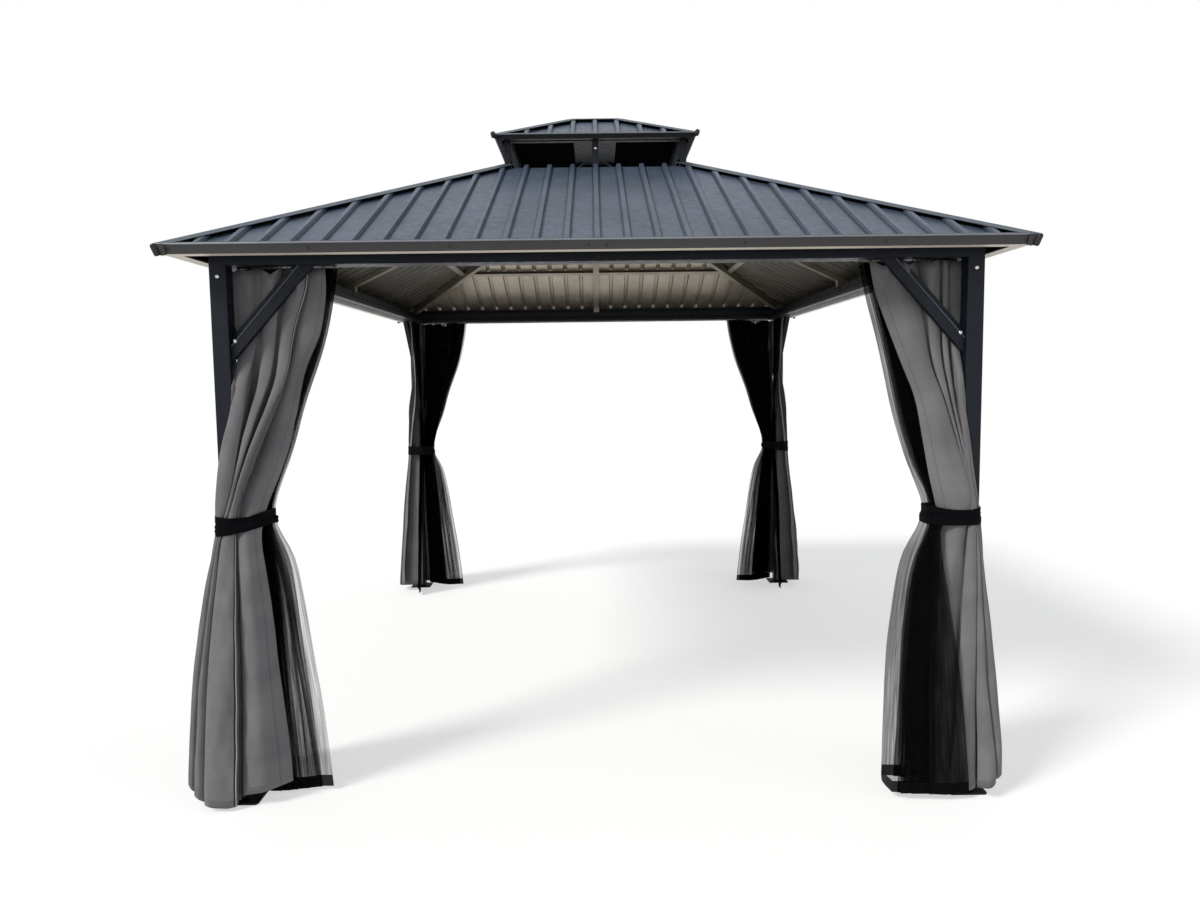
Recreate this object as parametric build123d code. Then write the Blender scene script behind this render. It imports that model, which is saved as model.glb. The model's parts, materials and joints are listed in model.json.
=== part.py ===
from build123d import *
import math
import os

os.makedirs("parts", exist_ok=True)

# Overall size of the roof plan, in millimetres. Front and back run along X, left and right along Y.
ROOF_W = 3000.0
ROOF_D = 3600.0
SLOPE = math.radians(25.3)
TAN, COS, SIN = math.tan(SLOPE), math.cos(SLOPE), math.sin(SLOPE)

# Clearances: between bolted steel pieces, at cut ends of sheets, and round the cloth.
FIT = 0.2
CUT_GAP = 0.7
CLOTH_FIT = 0.5

# Roof sheets.
SHEET_T = 1.2
RIB_PITCH = 105.0
RIB_H = 14.0
RIB_FOOT = 28.0
RIB_TOP = 16.0

# Eave trim, square to the slope, with a flange over the rib tops and one below.
TRIM_TOP = 2014.0
TRIM_T = 1.5
TRIM_H = 38.0
TRIM_LAP = 12.0
TRIM_FLANGE = 50.0
TRIM_EDGE = 8.0
CORNER_T = 6.0
CORNER_LEG = 34.0
SPLICE_W = 94.0
SPLICE_T = 2.0

# Posts, beams, foot plates.
POST = 60.0
POST_WALL = 2.0
POST_ROUND = 3.0
OVERHANG = 130.0
PLATE = 140.0
PLATE_T = 6.0
PLATE_CLIP = 8.0
ANCHOR_SPACING = 100.0
ANCHOR_R = 5.5
BEAM_BOTTOM = 1955.0
BEAM_TOP = 2025.0
BEAM_WALL = 2.0
LIP_T = 2.0
JOINT_GAP = 1.0
JOINT_PLATE = 140.0
JOINT_T = 3.0

# Curtain track under the lower inside edge of each beam.
TRACK_W = 48.0
TRACK_H = 18.0
TRACK_WALL = 1.6
TRACK_SLOT = 6.0
TRACK_LIFT = 2.0
TRACK_END = 6.0

# Corner braces.
BRACE_RUN = 300.0
BRACE_RISE = 337.0
BRACE_FACE = 56.0
BRACE_DEPTH = 24.0
BRACE_WALL = 2.5

# Rafters and purlins.
HIP_W = 34.0
HIP_DEPTH = 45.0
CENTRE_W = 40.0
CENTRE_DEPTH = 25.0
PURLIN_BACK = 567.0
PURLIN_W = 32.0
PURLIN_DEPTH = 22.0
PURLIN_WALL = 2.0

# Vent: centre line of its uprights on the short side, bars, and ledges of the ring below.
VENT_R = 402.0
VENT_BAR = 28.0
VENT_H = 120.0
RING_LEDGE = 4.0
RING_LAP = 20.0
RING_DEPTH = 45.0

# Upper roof.
UP_OVERHANG = 44.0
UP_RING_DEPTH = 26.0
UP_TRIM_H = 24.0
UP_TRIM_T = 1.2
UP_TRIM_FLANGE = 22.0
UP_RUN = 348.0
UP_RAFTER_W = 24.0
UP_RAFTER_DEPTH = 24.0
LID_PLATE_T = 3.0
LID_T = 1.5
LID_LAP = 18.0
HIP_CAP_W = 42.0
UP_HIP_CAP_W = 34.0
HIP_CAP_T = 1.2

# Soft goods: strap height, hem height, and the gathered widths at track, strap and hem.
TIE_BOTTOM = 998.0
TIE_H = 65.0
TIE_T = 3.0
TIE_CLIP = 3.0
HEM = 22.0
CURTAIN_TOP_W = 360.0
CURTAIN_BELT_IN = 134.0
CURTAIN_BELT_OUT = 60.0
CURTAIN_HEM_IN = 192.0
CURTAIN_HEM_OUT = 146.0
NET_TOP_W = 400.0
NET_TOP_IN = 250.0
NET_HEM_IN = 318.0
LAYER = 18.0
LAYER_GAP = 4.0
PLEAT = 9.0

EAVE_X = ROOF_W / 2 - CORNER_T * COS
EAVE_Y = ROOF_D / 2 - CORNER_T * COS
HIP_SHIFT = EAVE_Y - EAVE_X
POST_X = ROOF_W / 2 - OVERHANG - POST / 2
POST_Y = ROOF_D / 2 - OVERHANG - POST / 2
STACK = TRIM_T + FIT + SHEET_T + RIB_H
UP_STACK = UP_TRIM_T + FIT + SHEET_T + RIB_H
TRACK_BOTTOM = BEAM_BOTTOM + TRACK_LIFT
FAR = ROOF_W + ROOF_D
TALL = 2 * TRIM_TOP
TURN = {"front": 0, "right": 90, "back": 180, "left": 270}
TAGS = {"fl": (-1, -1), "fr": (1, -1), "bl": (-1, 1), "br": (1, 1)}


def more(side):
    """What the front and back lie further out than the left and right."""
    return HIP_SHIFT if side in ("front", "back") else 0.0


def half_run(side, r):
    """Half length along the eave, at the distance r from the centre, up to the hip line."""
    return r - HIP_SHIFT if side in ("front", "back") else r + HIP_SHIFT


def pan(r):
    """Underside of the main sheets; r is the distance on the short side."""
    return TRIM_TOP - STACK / COS + TAN * (EAVE_X - r)


def face_of(points):
    return make_face(Polyline(*[Vector(*p) for p in points], close=True))


def place(side, shape):
    """Turn a shape that was drawn on the front side to its own side."""
    return shape.rotate(Axis.Z, TURN[side])


def box(x0, x1, y0, y1, z0, z1):
    return Pos((x0 + x1) / 2, (y0 + y1) / 2, (z0 + z1) / 2) * Box(x1 - x0, y1 - y0, z1 - z0)


def wedge(side, r_in, r_out, gap):
    """Vertical prism over the plan of one slope between two distances, up to the hips."""
    far = half_run(side, r_out) - gap
    near = half_run(side, r_in) - gap
    plan = [(-far, -r_out, 0), (far, -r_out, 0), (near, -r_in, 0), (-near, -r_in, 0)]
    return extrude(face_of(plan), TALL)


def bar(side, profile, gap):
    """Profile of (distance on the short side, height) run along the eave and mitred at the hips."""
    add = more(side)
    outer = max(r for r, z in profile)
    inner = min(r for r, z in profile)
    long = half_run(side, outer + add)
    section = face_of([(-long, -r - add, z) for r, z in profile])
    solid = extrude(section, 2 * long, dir=(1, 0, 0))
    return place(side, solid & wedge(side, inner + add - 1, outer + add + 1, gap))


def rib_line(half, skin):
    """Corrugated line: trapezoid ribs with flat pans between them, raised by the skin."""
    grow = skin * math.tan((math.pi - math.atan2(RIB_H, (RIB_FOOT - RIB_TOP) / 2)) / 2 - math.pi / 4)
    count = int((half - RIB_FOOT) // RIB_PITCH)
    foot, crown = RIB_FOOT / 2 + grow, RIB_TOP / 2 + grow
    line = [(-half, skin)]
    for n in range(-count, count + 1):
        x = n * RIB_PITCH
        line += [(x - foot, skin), (x - crown, RIB_H + skin), (x + crown, RIB_H + skin), (x + foot, skin)]
    line += [(half, skin)]
    return line


def sheet(side, eave, top, run, stack, trim_t):
    """Ribbed sheet of one slope: its lower end is square to the slope and butts on the trim."""
    back = trim_t + FIT
    r0 = eave + more(side) - back * COS - stack * SIN
    z0 = top + back * SIN - stack * COS
    half = half_run(side, r0 + stack)
    low, high = rib_line(half, 0.0), rib_line(half, SHEET_T)
    points = [(x, -r0 - h * SIN, z0 + h * COS) for x, h in low + high[::-1]]
    r_in = eave + more(side) - run
    solid = extrude(face_of(points), (run + stack) / COS, dir=(0, COS, SIN))
    return place(side, solid & wedge(side, r_in, eave + more(side) + stack, CUT_GAP))


def trim_profile(eave, top, height, t, lap, flange, edge):
    """Section of the eave trim, hung from its top outer corner and square to the slope."""
    def at(along, down):
        return (eave - along * COS - down * SIN, top + along * SIN - down * COS)
    foot_r, foot_z = at(0, height)
    in_r, in_z = at(t, height - t * (1 + TAN))
    points = [at(0, 0), (foot_r, foot_z), (foot_r - flange, foot_z), (foot_r - flange, foot_z + edge)]
    points += [(foot_r - flange + t, foot_z + edge), (foot_r - flange + t, foot_z + t)]
    points += [(in_r + (in_z - foot_z - t) * -TAN, foot_z + t), at(t, t), at(lap, t), at(lap, 0)]
    return points


def hip_section(r, z, low, high, width, down=0.0):
    """Section across the hip at the corner +X +Y: two wings parallel to the slopes.

    low and high are offsets square to the slopes. With down the section is a solid bar."""
    n_a, n_b = Vector(SIN, 0, COS), Vector(0, SIN, COS)
    d = Vector(1, 1, -TAN).normalized()
    up = (n_a + n_b).normalized()
    per = 1 / up.dot(n_a)
    a = d.cross(n_a).normalized()
    if a.X < a.Y:
        a = a * -1
    b = Vector(a.Y, a.X, a.Z)
    p = Vector(r, r + HIP_SHIFT, z)
    top = p + up * (high * per)
    if down:
        return [top, top + b * width, top + b * width - up * down, top + a * width - up * down, top + a * width]
    foot = p + up * (low * per)
    return [top + a * width, top, top + b * width, foot + b * width, foot, foot + a * width]


def hip_bar(r_out, r_in, z_out, low, high, width, down=0.0):
    """Bar up the hip at the corner +X +Y between two distances on the short side."""
    section = make_face(Polyline(*hip_section(r_out, z_out, low, high, width, down), close=True))
    return extrude(section, (r_out - r_in) * math.sqrt(2 + TAN * TAN), dir=(-1, -1, TAN))


def corner_box(r, z0, z1):
    """Everything nearer than r on the short side, and as far on the long side, in one quarter."""
    return box(0, r, 0, r + HIP_SHIFT, z0, z1)


def corners(shape):
    """One copy in each corner, by mirroring."""
    right = [shape, mirror(shape, Plane.XZ)]
    return right + [mirror(s, Plane.YZ) for s in right]


def save(name, shapes):
    shapes = shapes if isinstance(shapes, list) else [shapes]
    solids = [s for shape in shapes for s in shape.solids()]
    out = solids[0] if len(solids) == 1 else Compound(children=solids)
    out.label = name
    export_step(out, "parts/" + name + ".step")
    print(name, len(solids), "solids", round(sum(s.volume for s in solids) / 1e3, 1), "cm3")


# Foot plates with anchor holes.
half = PLATE / 2
plate = box(POST_X - half, POST_X + half, POST_Y - half, POST_Y + half, 0, PLATE_T)
plate = chamfer(plate.edges().filter_by(Axis.Z), PLATE_CLIP)
for hole in GridLocations(ANCHOR_SPACING, ANCHOR_SPACING, 2, 2):
    plate -= Pos(POST_X, POST_Y, PLATE_T / 2) * hole * Cylinder(ANCHOR_R, PLATE_T)
save("foot_plates", corners(plate))

# Posts: square tubes with rounded edges.
tube = RectangleRounded(POST, POST, POST_ROUND)
tube -= Rectangle(POST - 2 * POST_WALL, POST - 2 * POST_WALL)
post = extrude(Plane.XY.offset(PLATE_T) * tube, BEAM_TOP - PLATE_T)
for tag, (sx, sy) in TAGS.items():
    save("post_" + tag, post.moved(Location((sx * POST_X, sy * POST_Y, 0))))

# Beams: box sections with an outer lip that reaches the underside of the sheets, in two halves.
for side in TURN:
    mid = POST_X + more(side)
    end = (POST_X if more(side) else POST_Y) - POST / 2
    out, inn = POST_X + POST / 2, POST_X - POST / 2
    lip = pan(out) - FIT / COS
    outline = [(out, BEAM_BOTTOM), (out, lip), (out - LIP_T, lip), (out - LIP_T, BEAM_TOP)]
    outline += [(inn, BEAM_TOP), (inn, BEAM_BOTTOM)]
    w = BEAM_WALL
    core = [(out - w, BEAM_BOTTOM + w), (out - w, BEAM_TOP - w), (inn + w, BEAM_TOP - w), (inn + w, BEAM_BOTTOM + w)]
    add = POST_Y - POST_X if more(side) else 0
    section = face_of([(JOINT_GAP / 2, -r - add, z) for r, z in outline])
    section -= face_of([(JOINT_GAP / 2, -r - add, z) for r, z in core])
    half = extrude(section, end - JOINT_GAP / 2, dir=(1, 0, 0))
    save("beam_" + side, [place(side, half), place(side, mirror(half, Plane.YZ))])


def inner_face(side):
    """Distance from the centre to the inner face of a beam."""
    return (POST_Y if more(side) else POST_X) - POST / 2


def beam_end(side):
    """Half length of a beam between its two posts."""
    return (POST_X if more(side) else POST_Y) - POST / 2


# Joint plates on the inner faces at the middle of each beam, above the track.
joints = []
for side in TURN:
    inn = inner_face(side)
    low = TRACK_BOTTOM + TRACK_H + TRACK_LIFT
    one = box(-JOINT_PLATE / 2, JOINT_PLATE / 2, -inn, -inn + JOINT_T, low, BEAM_TOP - JOINT_T)
    joints.append(place(side, one))
save("beam_splices", joints)

# Double curtain track, open below, on the inner face of each beam.
tracks = []
chamber = (TRACK_W - 3 * TRACK_WALL) / 2
for side in TURN:
    rail = Rectangle(TRACK_W, TRACK_H, align=(Align.MIN, Align.MIN))
    for k in (0, 1):
        a = TRACK_WALL + k * (chamber + TRACK_WALL)
        inside = Rectangle(chamber, TRACK_H - 2 * TRACK_WALL, align=(Align.MIN, Align.MIN))
        slot = Rectangle(TRACK_SLOT, 2 * TRACK_WALL, align=(Align.CENTER, Align.CENTER))
        rail -= Pos(a, TRACK_WALL) * inside
        rail -= Pos(a + chamber / 2, 0) * slot
    run = beam_end(side) - TRACK_W - TRACK_END
    start = Plane((-run, -inner_face(side), TRACK_BOTTOM), x_dir=(0, 1, 0), z_dir=(1, 0, 0))
    tracks.append(place(side, extrude(start * rail, 2 * run)))
save("curtain_tracks", tracks)

# Corner braces: diagonal channels from the posts to the beams, open to the inside.
braces = []
for side in TURN:
    end = beam_end(side)
    low = BEAM_BOTTOM - BRACE_RISE
    short = BRACE_RUN * (BRACE_RISE - BRACE_FACE) / BRACE_RISE
    y = -inner_face(side) - POST / 2 - BRACE_DEPTH / 2
    outline = [(end, low), (end, low + BRACE_FACE), (end - short, BEAM_BOTTOM), (end - BRACE_RUN, BEAM_BOTTOM)]
    shape = face_of([(x, y, z) for x, z in outline])
    one = extrude(shape, BRACE_DEPTH, dir=(0, 1, 0))
    pocket = offset(shape, amount=-BRACE_WALL)
    one -= extrude(pocket.moved(Location((0, BRACE_WALL, 0))), BRACE_DEPTH, dir=(0, 1, 0))
    braces += [place(side, one), place(side, mirror(one, Plane.YZ))]
save("corner_braces", braces)

RING_SEAT = VENT_R + VENT_BAR / 2 + RING_LEDGE
RING_OUT = RING_SEAT + RING_LAP
RING_IN = VENT_R - VENT_BAR / 2 - RING_LEDGE
OUT_X = POST_X + POST / 2

# Hip rafters, seated on the post tops and cut to the ring.
hip = hip_bar(OUT_X, RING_OUT, pan(OUT_X), 0, -FIT, HIP_W / 2, HIP_DEPTH)
hip &= corner_box(OUT_X, BEAM_TOP, TALL)
hip -= corner_box(RING_OUT + FIT, 0, TALL)
save("hip_rafters", corners(hip))


def rafter_top(r):
    """Top line of a bar that carries the main sheets."""
    return pan(r) - FIT / COS


# Centre rafters, with a foot on the beam and cut to the ring.
centre = []
deep = CENTRE_DEPTH / COS
for side in TURN:
    r0, r1, foot = OUT_X - LIP_T - FIT, RING_OUT + FIT, OUT_X - POST
    profile = [(r0, BEAM_TOP), (r0, rafter_top(r0)), (r1, rafter_top(r1)), (r1, rafter_top(r1) - deep)]
    profile += [(foot, rafter_top(foot) - deep), (foot, BEAM_TOP)]
    section = face_of([(-CENTRE_W / 2, -r - more(side), z) for r, z in profile])
    centre.append(place(side, extrude(section, CENTRE_W, dir=(1, 0, 0))))
save("centre_rafters", centre)

# Purlins: channels open up the slope, on both sides of each centre rafter.
purlins = []
for side in TURN:
    top_r = EAVE_X - PURLIN_BACK

    def at(along, down):
        return (top_r - along * COS - down * SIN, rafter_top(top_r) + along * SIN - down * COS)

    w, a, b = PURLIN_WALL, PURLIN_W, PURLIN_DEPTH
    profile = [at(0, 0), at(0, b), at(a, b), at(a, b - w), at(w, b - w), at(w, w), at(a, w), at(a, 0)]
    whole = bar(side, profile, (HIP_W / 2 + FIT) * math.sqrt(2) + HIP_DEPTH * SIN * 0.1)
    slot = CENTRE_W / 2 + FIT
    purlins.append(whole - place(side, box(-slot, slot, -FAR, 0, 0, TALL)))
save("purlins", purlins)

# Ribbed sheets of the main roof.
for side in TURN:
    save("roof_" + side, sheet(side, EAVE_X, TRIM_TOP, EAVE_X - RING_SEAT, STACK, TRIM_T))

# Hip caps over the trim and the rib tops, cut at the vent.
cap_low = STACK + FIT
cap = hip_bar(EAVE_X + RIB_PITCH, RING_IN, pan(EAVE_X + RIB_PITCH), cap_low, cap_low + HIP_CAP_T, HIP_CAP_W)
cap &= corner_box(EAVE_X, 0, TALL)
cap -= corner_box(RING_SEAT, 0, TALL)
save("hip_caps", corners(cap))

# Eave trim in mitred lengths.
profile = trim_profile(EAVE_X, TRIM_TOP, TRIM_H, TRIM_T, TRIM_LAP, TRIM_FLANGE, TRIM_EDGE)
trims = {side: bar(side, profile, FIT) for side in TURN}
save("eave_trim_x", [trims["front"], trims["back"]])
save("eave_trim_y", [trims["left"], trims["right"]])


def skin_plate(eave, top, height, inner, outer, start, stop):
    """Plate on the outer face of a trim, between two offsets from it."""
    def at(out, down):
        return (eave + out * COS - down * SIN, top - out * SIN - down * COS)
    return [at(inner, start), at(outer, start), at(outer, height - stop), at(inner, height - stop)]


# Corner caps and joint plates on the trim.
profile = skin_plate(EAVE_X, TRIM_TOP, TRIM_H, FIT, CORNER_T, 0, -TRIM_T)
wrap = bar("back", profile, 0) & box(EAVE_X - CORNER_LEG, FAR, 0, FAR, 0, TALL)
wrap += bar("right", profile, 0) & box(0, FAR, EAVE_Y - CORNER_LEG, FAR, 0, TALL)
save("eave_corners", corners(wrap))
profile = skin_plate(EAVE_X, TRIM_TOP, TRIM_H, FIT, FIT + SPLICE_T, TRIM_T * 2, TRIM_T * 2)
plates = []
for side in TURN:
    section = face_of([(-SPLICE_W / 2, -r - more(side), z) for r, z in profile])
    plates.append(place(side, extrude(section, SPLICE_W, dir=(1, 0, 0))))
save("eave_splices", plates)

# Vent ring at the head of the main roof, in mitred bars with a ledge for the uprights.
ring_top = rafter_top(RING_SEAT)
ring_low = rafter_top(RING_OUT) - RING_DEPTH
profile = [(RING_OUT, ring_low), (RING_OUT, rafter_top(RING_OUT)), (RING_SEAT, ring_top)]
profile += [(RING_IN, ring_top), (RING_IN, ring_low)]
rings = {side: bar(side, profile, FIT) for side in TURN}
save("vent_ring_x", [rings["front"], rings["back"]])
save("vent_ring_y", [rings["left"], rings["right"]])

# Uprights and the ring bars of the upper roof.
b = VENT_BAR / 2
up_low = ring_top + VENT_H
up_high = up_low + UP_RING_DEPTH
uprights = corners(box(VENT_R - b, VENT_R + b, VENT_R + HIP_SHIFT - b, VENT_R + HIP_SHIFT + b, ring_top, up_low))
for side in TURN:
    r = VENT_R + more(side)
    uprights.append(place(side, box(-b, b, -r - b, -r + b, ring_top, up_low)))
save("vent_posts", uprights)
out, inn = VENT_R + b, VENT_R - b
profile = [(out, up_low), (out, up_high), (inn, up_high + TAN * VENT_BAR), (inn, up_low)]
rings = {side: bar(side, profile, FIT) for side in TURN}
save("upper_ring_x", [rings["front"], rings["back"]])
save("upper_ring_y", [rings["left"], rings["right"]])


def up_pan(r):
    """Underside of the upper sheets; r is the distance on the short side."""
    return up_high + FIT / COS + TAN * (VENT_R + VENT_BAR / 2 - r)


UP_EAVE = VENT_R + VENT_BAR / 2 + UP_OVERHANG
UP_TOP = up_pan(UP_EAVE) + UP_STACK / COS
UP_HEAD = UP_EAVE - UP_RUN

# Flat plate under the lid, its edges against the sheets, and the upper hip rafters below it.
plate_top = up_pan(UP_HEAD) - FIT
plate_r = UP_EAVE - (plate_top + FIT / COS - up_pan(UP_EAVE)) / TAN
long = plate_r + HIP_SHIFT
save("top_plate", box(-plate_r, plate_r, -long, long, plate_top - LID_PLATE_T, plate_top))
rafter = hip_bar(inn, UP_HEAD / 2, up_pan(inn), 0, -FIT, UP_RAFTER_W / 2, UP_RAFTER_DEPTH)
rafter &= corner_box(inn - FIT, 0, plate_top - LID_PLATE_T)
save("upper_rafters", corners(rafter))

# Upper sheets and their trim.
slopes = {side: sheet(side, UP_EAVE, UP_TOP, UP_RUN, UP_STACK, UP_TRIM_T) for side in TURN}
save("upper_slopes_x", [slopes["front"], slopes["back"]])
save("upper_slopes_y", [slopes["left"], slopes["right"]])
profile = trim_profile(UP_EAVE, UP_TOP, UP_TRIM_H, UP_TRIM_T, TRIM_LAP, UP_TRIM_FLANGE, TRIM_EDGE)
trims = {side: bar(side, profile, FIT) for side in TURN}
save("upper_eave_x", [trims["front"], trims["back"]])
save("upper_eave_y", [trims["left"], trims["right"]])

# Upper hip caps and the lid that closes the top.
up_cap = UP_STACK + FIT
lid_r = UP_HEAD + LID_LAP
cap = hip_bar(UP_EAVE + RIB_PITCH, UP_HEAD / 2, up_pan(UP_EAVE + RIB_PITCH), up_cap, up_cap + HIP_CAP_T, UP_HIP_CAP_W)
cap &= corner_box(UP_EAVE, 0, TALL)
cap -= corner_box(lid_r + CUT_GAP, 0, TALL)
save("upper_hip_caps", corners(cap))


def lid_level(r):
    return up_pan(r) + (SHEET_T + RIB_H + FIT) / COS


def lid_plan(r):
    return Plane.XY.offset(lid_level(r)) * Rectangle(2 * r, 2 * (r + HIP_SHIFT))


mass = loft([lid_plan(lid_r), lid_plan(UP_HEAD)])
save("top_cap", mass.moved(Location((0, 0, LID_T))) - mass)

# Soft goods, drawn at the corner +X +Y: u runs inwards along the beam from the post axis, v outwards.
CLOTH_TOP = TRACK_BOTTOM - FIT
WRAP_Z = BEAM_BOTTOM - BRACE_RISE - LAYER
TIE_TOP = TIE_BOTTOM + TIE_H
INSIDE = -POST / 2 - LAYER_GAP


def ease(t):
    t = min(max(t, 0.0), 1.0)
    return t * t * (3 - 2 * t)


def blend(z, top, belt, hem, high=CLOTH_TOP):
    """A size that eases from the track to the strap and from there to the hem."""
    if z >= TIE_BOTTOM:
        return belt + (top - belt) * ease((z - TIE_TOP) / (high - TIE_TOP))
    return belt + (hem - belt) * ((TIE_BOTTOM - z) / (TIE_BOTTOM - HEM)) ** 0.8


def pleated(u0, u1, v0, v1, folds):
    """Outline whose two long edges fold in step."""
    deep = min(PLEAT, 0.4 * (v1 - v0))
    steps = [(u0 + (u1 - u0) * i / (2 * folds), i % 2) for i in range(2 * folds + 1)]
    return [(u, v0 + deep * (1 - k)) for u, k in steps] + [(u, v1 - deep * k) for u, k in reversed(steps)]


def skinned(rings):
    """Closed solid through outlines at several heights, in flat triangles."""
    faces = [face_of(rings[0]), face_of(rings[-1])]
    for low, high in zip(rings, rings[1:]):
        for k in range(len(low)):
            j = (k + 1) % len(low)
            faces += [face_of([low[k], low[j], high[j]]), face_of([low[k], high[j], high[k]])]
    return Solid(Shell(faces))


def bundle(size, folds, along_y):
    """Gathered cloth through pleated outlines; size(z) gives u0, u1, v0, v1."""
    wrap = [WRAP_Z + (TIE_TOP - WRAP_Z) * k / 3 for k in range(4)]
    skirt = [TIE_BOTTOM + (HEM - TIE_BOTTOM) * k / 3 for k in range(4)]
    rings = []
    for z in [CLOTH_TOP, (CLOTH_TOP + WRAP_Z) / 2] + wrap + skirt:
        outline = pleated(*size(z), folds)
        rings.append([(POST_X + v, POST_Y - u, z) if along_y else (POST_X - u, POST_Y + v, z) for u, v in outline])
    body = skinned(rings)
    half = POST / 2 + CLOTH_FIT
    return body - box(POST_X - half, POST_X + half, POST_Y - half, POST_Y + half, 0, BEAM_TOP)


FIRST = INSIDE - LAYER
SECOND = FIRST - LAYER_GAP
THIRD = SECOND - LAYER


def curtain_along_x(z):
    low = blend(z, FIRST, INSIDE, INSIDE)
    high = blend(z, INSIDE, CURTAIN_BELT_OUT, 1.8 * CURTAIN_BELT_OUT, WRAP_Z)
    near = blend(z, -INSIDE, -CURTAIN_BELT_OUT, -CURTAIN_HEM_OUT, WRAP_Z)
    return near, blend(z, CURTAIN_TOP_W, CURTAIN_BELT_IN, CURTAIN_HEM_IN), low, high


def curtain_along_y(z):
    low = blend(z, FIRST, INSIDE, INSIDE)
    high = blend(z, INSIDE, CURTAIN_BELT_OUT, CURTAIN_HEM_OUT, WRAP_Z)
    near = blend(z, -SECOND, -INSIDE + LAYER_GAP, -INSIDE + LAYER_GAP)
    return near, blend(z, CURTAIN_TOP_W, CURTAIN_BELT_IN - LAYER, CURTAIN_HEM_IN), low, high


def net_along_x(z):
    low = blend(z, THIRD, THIRD, THIRD)
    high = blend(z, SECOND, INSIDE - LAYER_GAP, INSIDE - LAYER_GAP)
    near = blend(z, NET_TOP_IN, -INSIDE + LAYER_GAP, -INSIDE + LAYER_GAP)
    return near, blend(z, NET_TOP_W, CURTAIN_BELT_IN, NET_HEM_IN), low, high


def net_along_y(z):
    low = blend(z, THIRD, THIRD, THIRD)
    high = blend(z, SECOND, INSIDE - LAYER_GAP, INSIDE - LAYER_GAP)
    near = blend(z, NET_TOP_IN, -THIRD + LAYER_GAP, -THIRD + LAYER_GAP)
    return near, blend(z, NET_TOP_W, CURTAIN_BELT_IN, NET_HEM_IN), low, high


def at_corner(tag, shape):
    """Mirror what was drawn at the corner +X +Y to the corner of the tag."""
    sx, sy = TAGS[tag]
    shape = shape if sy > 0 else mirror(shape, Plane.XZ)
    return shape if sx > 0 else mirror(shape, Plane.YZ)


grey = [bundle(curtain_along_x, 3, False), bundle(curtain_along_y, 3, True)]
net = [bundle(net_along_x, 2, False), bundle(net_along_y, 2, True)]
for tag in TAGS:
    save("curtain_" + tag, [at_corner(tag, s) for s in grey])
    save("net_" + tag, [at_corner(tag, s) for s in net])

# Ties: a strap round the post and the gathered cloth.
size = CURTAIN_BELT_OUT + CURTAIN_BELT_IN + 2 * FIT
shift = (CURTAIN_BELT_OUT - CURTAIN_BELT_IN) / 2
strap = chamfer(Rectangle(size + 2 * TIE_T, size + 2 * TIE_T).vertices(), TIE_CLIP)
strap -= Rectangle(size, size)
strap = extrude(Plane((POST_X + shift, POST_Y + shift, TIE_BOTTOM)) * strap, TIE_H)
save("curtain_ties", [at_corner(tag, strap) for tag in TAGS])
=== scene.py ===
# %% [markdown]
# A hardtop gazebo for a garden: four square posts, box beams, a two-tier roof of ribbed steel, and
# at each post a gathered grey curtain and a black mosquito net, tied with a strap. The steel comes
# from the CAD frame and only gets its paint here. What is soft or small is added: cloth, straps,
# runners, screws, bolts and caps.

# %% Load the frame
import json
import math

import bmesh
import bpy
import numpy as np
from mathutils import Matrix, Vector
from mathutils.geometry import convex_hull_2d


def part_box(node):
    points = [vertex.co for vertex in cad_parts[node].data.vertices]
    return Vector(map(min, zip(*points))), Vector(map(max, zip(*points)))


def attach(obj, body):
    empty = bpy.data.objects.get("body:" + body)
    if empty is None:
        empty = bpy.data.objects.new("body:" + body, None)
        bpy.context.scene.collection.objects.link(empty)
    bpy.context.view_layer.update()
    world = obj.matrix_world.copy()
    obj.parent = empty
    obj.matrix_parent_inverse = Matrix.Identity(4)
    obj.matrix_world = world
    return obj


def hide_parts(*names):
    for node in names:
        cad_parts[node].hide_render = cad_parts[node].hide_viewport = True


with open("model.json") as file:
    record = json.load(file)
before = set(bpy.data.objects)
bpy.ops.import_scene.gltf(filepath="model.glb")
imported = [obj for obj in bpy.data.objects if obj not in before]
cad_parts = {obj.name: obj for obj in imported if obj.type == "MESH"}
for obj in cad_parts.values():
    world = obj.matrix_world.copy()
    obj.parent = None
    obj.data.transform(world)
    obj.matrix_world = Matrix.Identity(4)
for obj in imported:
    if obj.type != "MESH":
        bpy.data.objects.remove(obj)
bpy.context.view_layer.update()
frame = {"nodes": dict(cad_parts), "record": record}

MM = 0.001

# %% [markdown]
# The photograph was taken by a standing person a little in front of the eave, slightly left of the
# middle, with a wide lens. The camera below has that place, tilt and lens, worked out from the
# eaves, posts and ribs, so that pieces line up when the render is laid over the photograph.

# %% Camera at the photograph's angle
TILT, TURN, ROLL = math.radians(4.8003), math.radians(0.2272), math.radians(0.7050)
CAMERA_AT = (-0.0117, -4.7421, 1.5442)
SENSOR = 36.0
FOCAL_PX, PHOTO_PX = 858.8, 1200
scene = bpy.context.scene
camera_data = bpy.data.cameras.new("camera")
camera_data.sensor_width = SENSOR
camera_data.lens = FOCAL_PX / PHOTO_PX * SENSOR
camera = bpy.data.objects.new("camera", camera_data)
scene.collection.objects.link(camera)
ahead = Vector((math.sin(TURN) * math.cos(TILT), math.cos(TURN) * math.cos(TILT), -math.sin(TILT)))
level = Vector((math.cos(TURN), -math.sin(TURN), 0))
right = level * math.cos(ROLL) - level.cross(ahead) * math.sin(ROLL)
axes = Matrix((right, right.cross(ahead), -ahead)).transposed().to_4x4()
camera.matrix_world = Matrix.Translation(CAMERA_AT) @ axes
scene.camera = camera
print("lens", round(camera_data.lens, 2), "mm")

# %% [markdown]
# Short calls for shader nodes. A value given to one of them is a number or another node's socket,
# and each returns the socket that holds its result.

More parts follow.
